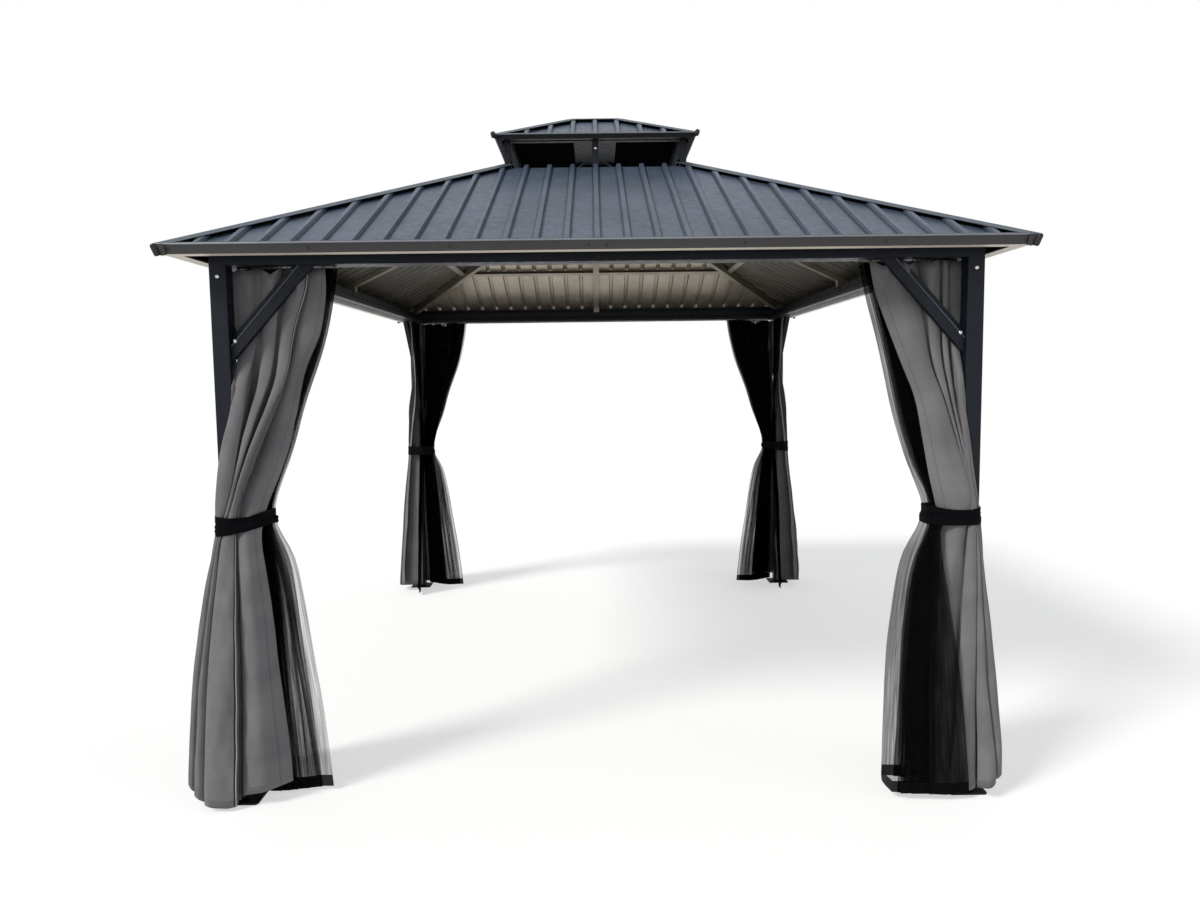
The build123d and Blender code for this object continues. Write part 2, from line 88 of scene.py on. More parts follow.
# %% Helpers for node trees
def put(tree, node, sockets):
    """Sets a node's sockets, and links what is given as a socket."""
    for key, value in sockets.items():
        if isinstance(value, bpy.types.NodeSocket):
            tree.links.new(value, node.inputs[key])
        else:
            node.inputs[key].default_value = value


def add(tree, kind, sockets=None, **settings):
    """Adds one node, sets its properties and its sockets, and returns its outputs."""
    node = tree.nodes.new("ShaderNode" + kind)
    for key, value in settings.items():
        setattr(node, key, value)
    put(tree, node, sockets or {})
    return node.outputs


def maths(tree, operation, *values):
    """One sum of one to three values."""
    return add(tree, "Math", dict(enumerate(values)), operation=operation)[0]


def ranged(tree, value, low, high, to_low=0.0, to_high=1.0, **settings):
    """Maps one range of a value to another, and holds it there."""
    sockets = {"Value": value, "From Min": low, "From Max": high, "To Min": to_low, "To Max": to_high}
    return add(tree, "MapRange", sockets, **settings)[0]


def noise(tree, where, scale, detail, **more):
    """Cloudy noise, scaled per metre."""
    return add(tree, "TexNoise", {"Vector": where, "Scale": scale, "Detail": detail, **more})[0]


def stretched(tree, where, scale, **more):
    """Coordinates that draw a pattern out along the axes with a small scale."""
    return add(tree, "Mapping", {"Vector": where, "Scale": scale, **more})[0]


def bump(tree, height, strength, distance, **more):
    """Relief drawn on the surface."""
    return add(tree, "Bump", {"Height": height, "Strength": strength, "Distance": distance, **more})[0]


def greatest(tree, values):
    """The greatest of several values."""
    most = values[0]
    for value in values[1:]:
        most = maths(tree, "MAXIMUM", most, value)
    return most


def distance(tree, value, middle):
    """How far a value is from the middle."""
    return maths(tree, "ABSOLUTE", maths(tree, "SUBTRACT", value, middle))


def band(tree, value, middle, half, soft):
    """1 within half of the middle, fading to 0 over soft."""
    return ranged(tree, distance(tree, value, middle), half, half + soft, 1.0, 0.0)


def cleared(owner):
    """The emptied node tree of a world or a material."""
    owner.use_nodes = True
    owner.node_tree.nodes.clear()
    return owner.node_tree


def split_view(tree, output, cast, shown, mirrored):
    """Shows one shader to the camera, through nets and in part to reflections, and casts another one's light."""
    path = add(tree, "LightPath")
    seen = maths(tree, "MAXIMUM", path["Is Camera Ray"], path["Is Transmission Ray"])
    most = maths(tree, "MAXIMUM", seen, maths(tree, "MULTIPLY", path["Is Glossy Ray"], mirrored))
    add(tree, output, {"Surface": add(tree, "MixShader", {0: most, 1: cast, 2: shown})[0]})


print("node helpers 12")

# %% [markdown]
# Soft daylight without a coloured sky: a white world for what the camera and reflections see, a
# gentler one for the light itself, a wide sun from the front left for form, and a weak lamp from
# the right. Together they light a pale card at about its own value.

# %% World and lamps
scene.view_settings.view_transform = "Standard"
scene.world = bpy.data.worlds.new("studio")
tree = cleared(scene.world)
dim = add(tree, "Background", {"Color": (0.93, 0.96, 1.0, 1), "Strength": 0.36})[0]
plain = add(tree, "Background", {"Color": (1, 1, 1, 1), "Strength": 1.0})[0]
split_view(tree, "OutputWorld", dim, plain, 0.8)


def sun(name, energy, towards, wide, colour):
    """Adds a sun that shines along a direction and looks so many degrees wide."""
    data = bpy.data.lights.new(name, "SUN")
    data.energy, data.angle, data.color = energy, math.radians(wide), colour
    made = bpy.data.objects.new(name, data)
    made.rotation_euler = Vector(towards).to_track_quat("-Z", "Y").to_euler()
    scene.collection.objects.link(made)


sun("key", 2.5, (0.72, 0.52, -0.75), 16, (1.0, 0.97, 0.93))
sun("fill", 0.3, (-0.8, 0.35, -0.35), 40, (0.93, 0.96, 1.0))
print("lamps 2")

# %% [markdown]
# The floor is a wide pale sheet that only takes the shadow. Where the camera, a reflection or a
# see-through net looks at it, a glow is added to its own light, just enough to reach white where
# no shadow falls, so the picture has no horizon.

# %% Floor
bpy.ops.object.select_all(action="DESELECT")
bpy.ops.mesh.primitive_plane_add(size=60)
floor = bpy.context.object
floor.name = "floor"
paving = bpy.data.materials.new("pale studio floor")
tree = cleared(paving)
matt = add(tree, "BsdfDiffuse", {"Color": (0.8, 0.8, 0.79, 1)})[0]
shaded = add(tree, "BsdfDiffuse", {"Color": (0.55, 0.55, 0.55, 1)})[0]
glow = add(tree, "Emission", {"Color": (1, 1, 1, 1), "Strength": 0.56})[0]
split_view(tree, "OutputMaterial", matt, add(tree, "AddShader", {0: shaded, 1: glow})[0], 1.0)
floor.data.materials.append(paving)
print("floor", tuple(floor.dimensions))

# %% [markdown]
# Paint. The frame is galvanised steel with a powder coat: dry powder is sprayed on and baked, which
# leaves a satin skin with a fine orange peel. Roof sheets are coil coated before they are rolled,
# so they are smoother and glossier, with a fine embossed grain. Every pattern below reads Object
# coordinates and is scaled from millimetres.

# %% Paints
def srgb(code):
    """Turns an sRGB hex colour into the linear one that a shader takes."""
    parts = [int(code[k:k + 2], 16) / 255 for k in (1, 3, 5)]
    return tuple(c / 12.92 if c <= 0.04045 else ((c + 0.055) / 1.055) ** 2.4 for c in parts) + (1.0,)


def mixed(tree, share, first, second):
    """Blends two colours, each a hex code or a socket."""
    first, second = (srgb(c) if isinstance(c, str) else c for c in (first, second))
    return add(tree, "Mix", {0: share, 6: first, 7: second}, data_type="RGBA")[2]


def finish_start(name):
    """A new material with its tree, its shader and its kinds of coordinates."""
    made = bpy.data.materials.new(name)
    made.use_nodes = True
    tree = made.node_tree
    return made, tree, tree.nodes["Principled BSDF"], add(tree, "TexCoord")


def looks_down(tree, coords, limit):
    """1 on faces whose normal's height is under the limit."""
    return maths(tree, "LESS_THAN", add(tree, "SeparateXYZ", {0: coords["Normal"]})["Z"], limit)


def paint(name, light, dark, roughness, peel_mm, peel, dust=0.0, streak=(1, 1, 0.12), specular=0.5,
          metallic=0.0, light_from_below=None):
    """Painted sheet or tube: colour drifts a little, dust gathers in soft streaks, and the skin has a fine peel."""
    made, tree, shader, coords = finish_start(name)
    where = coords["Object"]
    cloud = noise(tree, stretched(tree, where, streak), 5.0, 5.0)
    tint = mixed(tree, ranged(tree, cloud, 0.35, 0.68), dark, light)
    if light_from_below:
        # Painted light: faces that look down are painted pale, as light bounced up from the ground would light them.
        tint = mixed(tree, looks_down(tree, coords, -0.7), tint, light_from_below)
    grime = noise(tree, where, 38.0, 6.0)
    skin = noise(tree, where, 1 / (peel_mm * MM), 2.0)
    put(tree, shader, {"Base Color": tint, "Specular IOR Level": specular, "Metallic": metallic,
                       "Roughness": ranged(tree, grime, 0.3, 0.7, roughness - 0.05, roughness + 0.07 + dust),
                       "Normal": bump(tree, skin, peel, 0.4 * MM)})
    return made


# Powder coat: grit of the peel is about 1 mm and is drawn 4 mm wide so that it shows at this distance.
ALONG = (0.3, 0.3, 1)
powder_coat = paint("satin powder coat on square tube", "#0c141e", "#080e16", 0.45, 4.0, 0.25, 0.06, specular=0.25)
plate_coat = paint("satin powder coat on plate", "#15191f", "#0f1216", 0.5, 4.0, 0.25, 0.1, specular=0.25)
track_coat = paint("powder coated aluminium track", "#1a1d22", "#131519", 0.38, 3.0, 0.15, specular=0.25)
# The eave trim's faces that look down are painted pale cream: painted light from the ground below.
trim_coat = paint("coil coated eave trim", "#393737", "#2f2d2d", 0.42, 5.0, 0.15, 0.05, ALONG, light_from_below="#d8d0bf")
corner_coat = paint("moulded corner cap, black", "#0f1013", "#0a0b0d", 0.55, 3.0, 0.2)
# Painted shade: the upper trim is painted near black because its face leans in and lies in shade.
shaded_upper_trim_coat = paint("coil coated upper trim", "#16181c", "#101216", 0.4, 5.0, 0.15, 0.05, ALONG, 0.3)
# Painted highlight: the rolled edge is painted pale to stand for the sky that it catches.
highlight_edge_coat = paint("coil coat on a rolled edge", "#8b929d", "#7a818c", 0.28, 5.0, 0.1, 0.05, ALONG)
# Painted highlight: the brace's fold is painted lighter to stand for the shine along it.
highlight_fold_coat = paint("powder coat on a folded edge", "#4d5763", "#434c57", 0.3, 4.0, 0.1)
ridge_coat = paint("coil coated ridge cap", "#414d5e", "#374250", 0.42, 5.0, 0.2, 0.05, (1, 1, 1))
wash_coat = paint("grey brown wash coat on rafters", "#a09a8c", "#8b8578", 0.36, 5.0, 0.15, 0.05, metallic=0.6)
# Painted shade: the black foam strips stand in for the shade in the ribs' open ends under the hip caps.
foam = paint("black foam strip", "#0d0d0e", "#08080a", 0.9, 3.0, 0.6, specular=0.1)
zinc = paint("bright zinc plate", "#d6d9db", "#b9bdc0", 0.3, 1.5, 0.1, metallic=1.0)
dark_screw = paint("black oxide screw", "#1a1b1e", "#101114", 0.45, 1.5, 0.1)
nylon = paint("dark grey nylon runner", "#26272a", "#1e1f22", 0.5, 2.0, 0.05)
print("paints 14")

# %% [markdown]
# Roof sheets. A coil-coated sheet has its colour on the weather side only; its back is a thin
# grey-brown wash coat with metal in it, which mirrors the ground softly. One finish serves both and
# tells them apart by the direction that a face looks in. The roll former leaves two stiffening
# lines in each pan, about a millimetre deep, so they are drawn as bump.

# %% Roof finish, and all the paint on the frame
RIB_PITCH = 105 * MM
RIB_FOOT, PRESSED_LINE = 15 * MM, 36 * MM
# The third colour is painted shade, used at the foot of each rib.
SHEET, SHEET_DARK, RIB_FOOT_SHADE = "#495668", "#3d4858", "#14161a"


def roof_sheet(name, back, along_y):
    """Coil coat above with a fine embossed grain and pressed lines, and a metallic wash coat below."""
    made, tree, shader, coords = finish_start(name)
    where = coords["Object"]
    back_dark, back_light, metallic, specular = back
    drift = ranged(tree, noise(tree, where, 4.0, 5.0), 0.35, 0.68)
    below = looks_down(tree, coords, 0.0)
    # Folded at the pitch and again at half of it, the place across the ribs is the distance to the nearest rib.
    place = add(tree, "SeparateXYZ", {0: where})["Y" if along_y else "X"]
    from_rib = maths(tree, "PINGPONG", maths(tree, "PINGPONG", place, RIB_PITCH), 0.5 * RIB_PITCH)
    # Painted shade: a thin dark line at the foot of each rib, where the rib's side wall shades the pan.
    foot = maths(tree, "MULTIPLY", band(tree, from_rib, RIB_FOOT, 1.5 * MM, 2 * MM), 0.75)
    above = mixed(tree, foot, mixed(tree, drift, SHEET_DARK, SHEET), RIB_FOOT_SHADE)
    # Grain: short embossed strokes up the slope, about 3 mm wide on the sheet and drawn at 6 mm.
    strokes = stretched(tree, where, (0.35, 1, 1) if along_y else (1, 0.35, 1))
    groove = ranged(tree, distance(tree, from_rib, PRESSED_LINE), 0.0, 4 * MM, -1.0, 0.0,
                    interpolation_type="SMOOTHSTEP")
    height = maths(tree, "MULTIPLY_ADD", noise(tree, strokes, 1 / (6 * MM), 2.0), 0.2, groove)
    # The back shows the pressed pattern only faintly.
    depth = ranged(tree, below, 0.0, 1.0, 0.5, 0.12)
    dust = noise(tree, where, 30.0, 6.0)
    put(tree, shader, {"Base Color": mixed(tree, below, above, mixed(tree, drift, back_dark, back_light)),
                       "Metallic": maths(tree, "MULTIPLY", below, metallic),
                       "Specular IOR Level": ranged(tree, below, 0.0, 1.0, 0.5, specular),
                       "Roughness": ranged(tree, dust, 0.3, 0.7, 0.36, 0.5),
                       "Normal": bump(tree, height, depth, 1.0 * MM)})
    return made


# A back is its two colours, how metallic it is, and its specular level. The side slopes' backs are painted darker
# than the front and back slopes' backs, and the small upper roof's back is painted almost black: both are painted
# shade.
WASH, SHADED_SIDE_WASH = ("#a8a092", "#bab1a2", 0.75, 0.5), ("#49453d", "#5b564c", 0.5, 0.3)
SHADED_UPPER_BACK = ("#08080a", "#0c0c0d", 0.0, 0.0)
roof_x = roof_sheet("coil coated sheet, ribs across the front", WASH, False)
roof_y = roof_sheet("coil coated sheet, ribs across the side", SHADED_SIDE_WASH, True)
upper_x = roof_sheet("coil coated upper sheet, ribs across the front", SHADED_UPPER_BACK, False)
upper_y = roof_sheet("coil coated upper sheet, ribs across the side", SHADED_UPPER_BACK, True)

COATS = {"frame_steel": powder_coat, "rafter_steel": wash_coat, "plate_steel": plate_coat, "track_steel": track_coat,
         "roof_steel": roof_x, "ridge_steel": ridge_coat, "trim_steel": trim_coat, "corner_steel": corner_coat,
         "upper_trim_steel": shaded_upper_trim_coat}
OWN_COATS = {"roof_left": roof_y, "roof_right": roof_y, "upper_slopes_x": upper_x, "upper_slopes_y": upper_y,
             "eave_corners": trim_coat}
slot_of = {row["node"]: row["material_slot"] for row in frame["record"]["subparts"]}
painted = [name for name in frame["nodes"] if slot_of[name] in COATS]
for name in painted:
    for place in frame["nodes"][name].material_slots:
        place.material = OWN_COATS.get(name, COATS[slot_of[name]])
print("painted", len(painted))

# %% [markdown]
# Curtain cloth is a plain woven polyester, warm grey, with a soft sheen. The net is knitted
# polyester with holes of about 1.5 mm, so one layer is see-through and many layers are black. The
# straps are the same black polyester as the net's border. Their weave runs with the cloth, so these
# finishes read the UV map, which holds metres of flat cloth.

# %% Cloth finishes
# Threads are really about 0.5 mm apart and are drawn at 3 mm, the finest that a render shows. The net's holes are
# really about 1.5 mm wide and are drawn 2.5 mm wide.
THREAD_MM, HOLE_MM = 3.0, 2.5
WAVE_LONG = 0.314  # the length of one wave, in metres, at a scale of 1
CLOTH_LONG = 1.93
FRONT_FLAT, SIDE_FLAT = (1.35, CLOTH_LONG), (1.65, CLOTH_LONG)
FRONT_NET, SIDE_NET = (1.6, CLOTH_LONG), (1.9, CLOTH_LONG)
HEM, NET_HEM, NET_BORDER = 22 * MM, 42 * MM, 4 * MM
ZIP_AT = 0.925
GREY, GREY_DARK, STITCH, ZIP_TAPE, ZIP_TEETH = "#7b7a7c", "#68676a", "#3c3b3e", "#222226", "#cfcac4"


def threads(tree, where, pitch_mm, **more):
    """Two waves that cross as warp and weft do."""
    sockets = {"Vector": where, "Scale": WAVE_LONG / (pitch_mm * MM) / 2, **more}
    return [add(tree, "TexWave", sockets, bands_direction=axis, wave_type="BANDS")["Fac"] for axis in ("X", "Y")]


def woven(name, light=GREY, dark=GREY_DARK, sheen=0.15, specular=0.3, wide=0.0, zip_at=None):
    """Plain weave with slubs and crumples; a sheet of a given width also has hems, and perhaps a zip."""
    made, tree, shader, coords = finish_start(name)
    where = coords["UV"]
    weave = maths(tree, "ADD", *threads(tree, where, THREAD_MM, Distortion=0.6, Detail=1.0))
    slub = maths(tree, "MULTIPLY_ADD", weave, 0.08, noise(tree, where, 7.0, 4.0))
    tint = mixed(tree, ranged(tree, slub, 0.35, 0.8), dark, light)
    crumple = stretched(tree, where, (1, 0.35, 1), Rotation=(0, 0, 0.35))
    height = noise(tree, crumple, 14.0, 3.0, Roughness=0.45)
    if wide:
        # Hems are turned twice and held by one row of stitches; a stitch is drawn 3 mm wide.
        flat = add(tree, "SeparateXYZ", {0: where})
        rows = (flat["Y"], CLOTH_LONG - HEM), (flat["X"], HEM), (flat["X"], wide - HEM)
        stitch = greatest(tree, [band(tree, value, middle, 1.2 * MM, 1 * MM) for value, middle in rows])
        tint = mixed(tree, maths(tree, "MULTIPLY", stitch, 0.22), tint, STITCH)
        height = maths(tree, "MULTIPLY_ADD", stitch, -0.25, height)
        if zip_at:
            tint = mixed(tree, band(tree, flat["X"], zip_at, 5 * MM, 1 * MM), tint, ZIP_TAPE)
            tint = mixed(tree, band(tree, flat["X"], zip_at + 3 * MM, 1.5 * MM, 1 * MM), tint, ZIP_TEETH)
    soft = bump(tree, height, 0.6, 6 * MM)
    put(tree, shader, {"Base Color": tint, "Roughness": 0.8, "Sheen Weight": sheen, "Sheen Roughness": 0.45,
                       "Specular IOR Level": specular, "Normal": bump(tree, weave, 0.3, 0.3 * MM, Normal=soft)})
    return made


def knitted(name, wide):
    """Mosquito net: black threads that cross, see-through between them, with solid borders."""
    made, tree, shader, coords = finish_start(name)
    where = coords["UV"]
    cover = ranged(tree, greatest(tree, threads(tree, where, HOLE_MM)), 0.3, 1.0, 0.35, 0.52)
    # Knitted rows bunch up here and there, which shows as streaks down the net.
    streak = noise(tree, stretched(tree, where, (1, 0.03, 1)), 120.0, 3.0)
    cover = maths(tree, "ADD", cover, ranged(tree, streak, 0.3, 0.7, -0.16, 0.24))
    flat = add(tree, "SeparateXYZ", {0: where})
    edges = (flat["Y"], CLOTH_LONG, NET_HEM), (flat["X"], 0.0, NET_BORDER), (flat["X"], wide, NET_BORDER)
    solid = greatest(tree, [band(tree, value, middle, half, 1 * MM) for value, middle, half in edges])
    put(tree, shader, {"Base Color": srgb("#08080b"), "Roughness": 0.8, "Specular IOR Level": 0.06,
                       "Alpha": maths(tree, "MAXIMUM", cover, maths(tree, "MULTIPLY", solid, 0.97))})
    return made


end_cloth = woven("woven polyester, end curtain", wide=FRONT_FLAT[0])
zip_cloth = woven("woven polyester with zip", wide=FRONT_FLAT[0], zip_at=ZIP_AT)
side_cloth = woven("woven polyester, side curtain", wide=SIDE_FLAT[0])
strap_cloth = woven("woven polyester strap, black", "#090a0d", "#050608", 0.0, 0.06)
end_net = knitted("knitted mosquito net, end", FRONT_NET[0])
side_net = knitted("knitted mosquito net, side", SIDE_NET[0])
print("cloth finishes 6")

# %% [markdown]
# How a gathered curtain is shaped. The cloth is cut about as wide as half the bay, and hangs from
# runners. Its threads can't stretch, so a gathered edge goes to and fro: a wide panel shows in
# front, and beside it the cloth dives back and under before the next one. The strap pulls all
# panels towards the post, and below it they fan out. Each sheet is a grid whose rows are such
# folded paths. Points and rows are averaged with their neighbours, which rounds the folds, and a
# small relief of creases comes last. The folds of the photograph are placed one by one.

# %% Grid helpers for cloth
POST = 60
low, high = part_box("post_br")
POST_X, POST_Y = (low[0] + high[0]) / 2, (low[1] + high[1]) / 2
CORNERS = {"fl": (-1, -1), "fr": (1, -1), "bl": (-1, 1), "br": (1, 1)}
WHOLE_TURN = 6.28


def averaged(grid, times, axis):
    """Averages each point with its neighbours along one axis, ends held."""
    moved = np.swapaxes(grid.copy(), 0, axis)
    for _ in range(times):
        moved[1:-1] = (moved[:-2] + 2 * moved[1:-1] + moved[2:]) / 4
    return np.swapaxes(moved, 0, axis)


def grid_mesh(name, grid, flat):
    """A mesh from a grid of points, rows down the cloth, with a UV map in metres of flat cloth."""
    rows, cols = grid.shape[:2]
    firsts = [r * cols + c for r in range(rows - 1) for c in range(cols - 1)]
    data = bpy.data.meshes.new(name)
    data.from_pydata(grid.reshape(-1, 3).tolist(), [], [(k, k + cols, k + cols + 1, k + 1) for k in firsts])
    uv = data.uv_layers.new(name="flat cloth")
    wide, long = flat
    for loop in data.loops:
        r, c = divmod(loop.vertex_index, cols)
        uv.data[loop.index].uv = (c / (cols - 1) * wide, r / (rows - 1) * long)
    data.polygons.foreach_set("use_smooth", [True] * len(data.polygons))
    made = bpy.data.objects.new(name, data)
    scene.collection.objects.link(made)
    return made


def to_corner(tag, along_y, path, z):
    """Points (u, v) at height z in the frame: u goes along the beam from the post's axis, v outwards."""
    sx, sy = CORNERS[tag]
    u, v = path[:, 0], path[:, 1]
    x, y = (POST_X + v, POST_Y - u) if along_y else (POST_X - u, POST_Y + v)
    return np.stack([sx * x, sy * y, np.broadcast_to(z, u.shape)], axis=1)


def table_at(table, z):
    """The row of a table at height z."""
    heights = sorted(table)
    return [np.interp(z, heights, [table[h][k] for h in heights]) for k in range(len(table[heights[0]]))]


print("post axis", round(POST_X, 3), round(POST_Y, 3))

# %% [markdown]
# Two kinds of row. The grey cloth is heavy and falls in a few wide panels, so its row lists where
# each panel starts and ends. The net is thin and limp and falls in many narrow folds, so its row is
# a zigzag that moves along slowly where the net is dense and quickly at its sheer free edge.

# %% Rows of folded cloth
def panel_row(recipe, z):
    """Points of a grey sheet's row: wide crowned panels, and between two of them layers tucked under the first."""
    row, front, lean = (table_at(recipe[key], z) for key in ("panels", "front", "lean"))
    back, tuck = table_at(recipe["back"], z)[0], table_at(recipe["tuck"], z)[0]
    points = []
    panels = list(zip(row[::2], row[1::2]))
    for k, (start, end) in enumerate(panels):
        face, wide = front[k], end - start
        crown = recipe["crown"] * min(max(wide, 0), 90)
        points += [(start, face - crown), (start + 0.22 * wide, face - 0.25 * crown), (start + 0.5 * wide, face),
                   (end - 0.2 * wide, face - 0.6 * lean[k] - 0.25 * crown), (end, face - lean[k] - crown)]
        if k + 1 < len(panels):
            under = min(tuck, 0.85 * max(wide, 30))
            layers = np.linspace(face - lean[k] - crown - 3, back, 2 * recipe["passes"] + 1)
            for n in range(recipe["passes"]):
                points += [(end - 0.12 * under, layers[2 * n]), (end - under, layers[2 * n + 1]),
                           (end - 0.15 * under, layers[2 * n + 2])]
            points.append((0.5 * (end + panels[k + 1][0]), 0.9 * back + 0.1 * front[k + 1]))
    return np.array(points)


def even_points(points, count):
    """count points at equal steps of the list's index."""
    at = np.linspace(0, len(points) - 1, count)
    return np.stack([np.interp(at, np.arange(len(points)), points[:, k]) for k in (0, 1)], axis=1)


def zigzag_row(recipe, z, waves, count):
    """Points of a net's row: layers as wide as the cloth allows, packed up to the dense edge, then sparse."""
    inner, dense, edge = table_at(recipe["spread"], z)
    front, back = table_at(DEPTH, z)
    half = min(recipe["layer"] / 2, (edge - inner) / 2.2)
    t = np.linspace(0, 1, count)
    last = max(edge - half, inner + half)
    middle = np.clip(dense - half, inner + half, last)
    centre = np.interp(t, (0, recipe["share"], 1), (inner + half, middle, last))
    size = 1 + sum(a * np.sin(f * t * WHOLE_TURN + g * z / 900 + p) for a, f, g, p in waves[:3])
    drift = sum(9 * a * np.sin(f * t * WHOLE_TURN + g * z / 700 + p) for a, f, g, p in waves[3:])
    saw = np.arcsin(0.97 * np.sin(np.pi * (recipe["layers"] * t - 0.5))) / np.arcsin(0.97)
    u = np.minimum(centre + half * size * saw + drift * np.sin(np.pi * t), edge)
    return np.stack([np.maximum(u, inner), front + (back - front) * t], axis=1)


def wrap_row(recipe, z):
    """Points that carry a net round the grey cloth's free edge and to and fro over its front."""
    back, side, fore, dense, sheer, v_back, v_fore = table_at(recipe["wrap"], z)
    along = [back, side, side, fore + 2, fore, dense + 2, fore - 12, dense + 14, fore - 34, dense - 8, fore - 20,
             dense + 8, fore - 60, sheer, dense + 24]
    share = [0, 0.3, 0.55, 0.75, 0.86, 0.872, 0.884, 0.896, 0.908, 0.92, 0.932, 0.944, 0.96, 0.98, 1]
    return np.array([(u, v_back + (v_fore - v_back) * s) for u, s in zip(along, share)])


print("row kinds 3")

# %% [markdown]
# One function makes every curtain and net from a recipe. Its tables say, in millimetres along the
# beam, where each panel starts and ends at a height, read from the photograph's two front posts.
# Other keys say where the front and the back of the gather lie, and how the hem rises where the
# cloth is pulled sideways. All of it stays in the CAD's space for the cloth, clear of the post.

# %% Shape one sheet
CLOTH_TOP, CLOTH_HEM = 1953, 26
STRAP_MIDDLE = 1030
KEEP = POST / 2 + 3.5


def hung_sheet(name, tag, along_y, recipe, flat, seed, cols, rows=56):
    """Builds a gathered sheet at one corner from its recipe and returns the object."""
    random = np.random.default_rng(seed)
    down, across = np.linspace(0, 1, rows), np.linspace(0, 1, cols)
    tall = CLOTH_TOP - CLOTH_HEM
    waves = [[random.uniform(*span) for span in ((0.1, 0.2), (2, 9), (0.5, 2.5), (0, 6.3))] for _ in range(6)]
    grid = np.zeros((rows, cols, 3))
    for r, z in enumerate(CLOTH_TOP - tall * down):
        if "panels" in recipe:
            row = even_points(panel_row(recipe, z), cols)
        else:
            part = int(cols * recipe.get("wrap_share", 0))
            row = zigzag_row(recipe, z, waves, cols - part)
            if part:
                wrap = even_points(np.concatenate([row[-1:], wrap_row(recipe, z)]), part + 1)
                row = np.concatenate([row, wrap[1:]])
        grid[r, :, :2] = row
        grid[r, :, 2] = z
    grid[:, :, :2] = averaged(averaged(grid[:, :, :2], recipe["soft"], 1), 3, 0)
    u, v, height = (grid[:, :, k] for k in range(3))
    # Between two runners the header sags in swags of uneven depth that bulge and die out downwards.
    hooks = recipe["hooks"]
    bay = np.minimum((across * hooks).astype(int), hooks - 1)
    swag = np.abs(np.sin(np.pi * hooks * across)) ** 1.3 * random.uniform(0.4, 1.0, hooks)[bay]
    height -= recipe["sag"] * swag[None, :] * np.exp(-down / 0.07)[:, None]
    v += recipe["bulge"] * swag[None, :] * (np.exp(-down / 0.05) - np.exp(-down / 0.02))[:, None]
    # Pockets: where the header droops between two runners, a stiff V-shaped fold stands out below it.
    fall = CLOTH_TOP - height
    for middle, half, deep, out, drop in recipe.get("pockets", ()):
        near = np.clip(1 - np.abs(u - middle) / half, 0, 1)
        v += out * np.minimum(1, 3 * np.clip(near - fall / deep, 0, 1))
        height -= drop * near * np.exp(-fall / 60)
    # Creases: slanting waves of small height, strongest where the strap pulls. All layers share them.
    pull = np.exp(-((down - (CLOTH_TOP - STRAP_MIDDLE) / tall) / 0.07) ** 2)
    for _ in range(9):
        length, slant, phase = random.uniform(45, 190), random.uniform(-0.35, 0.35), random.uniform(0, 6.3)
        size = recipe["crease"] * random.uniform(0.35, 1.0) * length / 190
        wave = np.sin(WHOLE_TURN * (u + slant * height) / length + phase)
        v += size * wave * (0.6 + 0.5 * down[:, None] - 0.3 * pull[:, None])
    # The hem isn't level: where the cloth is pulled sideways it rides up.
    rise = np.interp(u[-1], recipe["rise"][::2], recipe["rise"][1::2])
    height += averaged(rise[:, None], 8, 0)[None, :, 0] * (down[:, None] ** 4)
    # Nothing may lie in the post: cloth that would is laid round its outer or its inner side.
    inside = (np.abs(u) < KEEP) & (np.abs(v) < KEEP)
    outwards = inside & (v > u - 2 * KEEP)
    v[outwards] = KEEP + 0.05 * (v[outwards] + KEEP)
    u[inside & ~outwards] = KEEP
    points = np.stack([to_corner(tag, along_y, row[:, :2] * MM, row[:, 2] * MM) for row in grid])
    return grid_mesh(name, points, flat)


# %% [markdown]
# The left post's curtain has four panels above the strap: one at the post, two beside it, and a
# last one behind them that reaches furthest in. Below the strap a wide panel comes forward and ends
# at its zipped edge, in front of a smooth one. The right post's curtain has its widest panel at the
# front, whose folded edge runs down to the strap at a slant.

# %% Recipes for the grey cloth
LEFT_PANELS = {
    1960: (14, 114, 137, 214, 238, 300, 300, 354),
    1882: (14, 113, 134, 196, 214, 300, 290, 359),
    1800: (14, 109, 129, 188, 206, 262, 260, 343),
    1714: (19, 104, 128, 176, 190, 240, 229, 330),
    1675: (36, 101, 128, 172, 187, 234, 220, 310),
    1650: (36, 98, 128, 168, 184, 228, 212, 290),
    1605: (34.5, 90, 122, 163, 182, 223, 200, 270),
    1575: (34.5, 84, 118, 160, 180, 219, 192, 257),
    1460: (32, 77, 92, 125, 146, 172, 150, 236),
    1307: (-16, 46, 53, 76, 86, 104, 90, 198),
    1193: (-32, 27, 31, 40, 46, 62, 50, 160),
    1080: (-42, -5, -3, 13, 15, 30, 22, 117),
    985: (-36, -31, -33, -29, -28, 29, 31, 103),
    850: (-76, -55, -57, -40, -42, 30, 32, 120),
    660: (-110, -80, -82, -66, -66, 30, 32, 140),
    440: (-140, -113, -115, -86, -88, 28, 30, 156),
    110: (-165, -140, -142, -106, -108, 17, 19, 184),
    26: (-168, -143, -145, -108, -110, 15, 17, 186)}
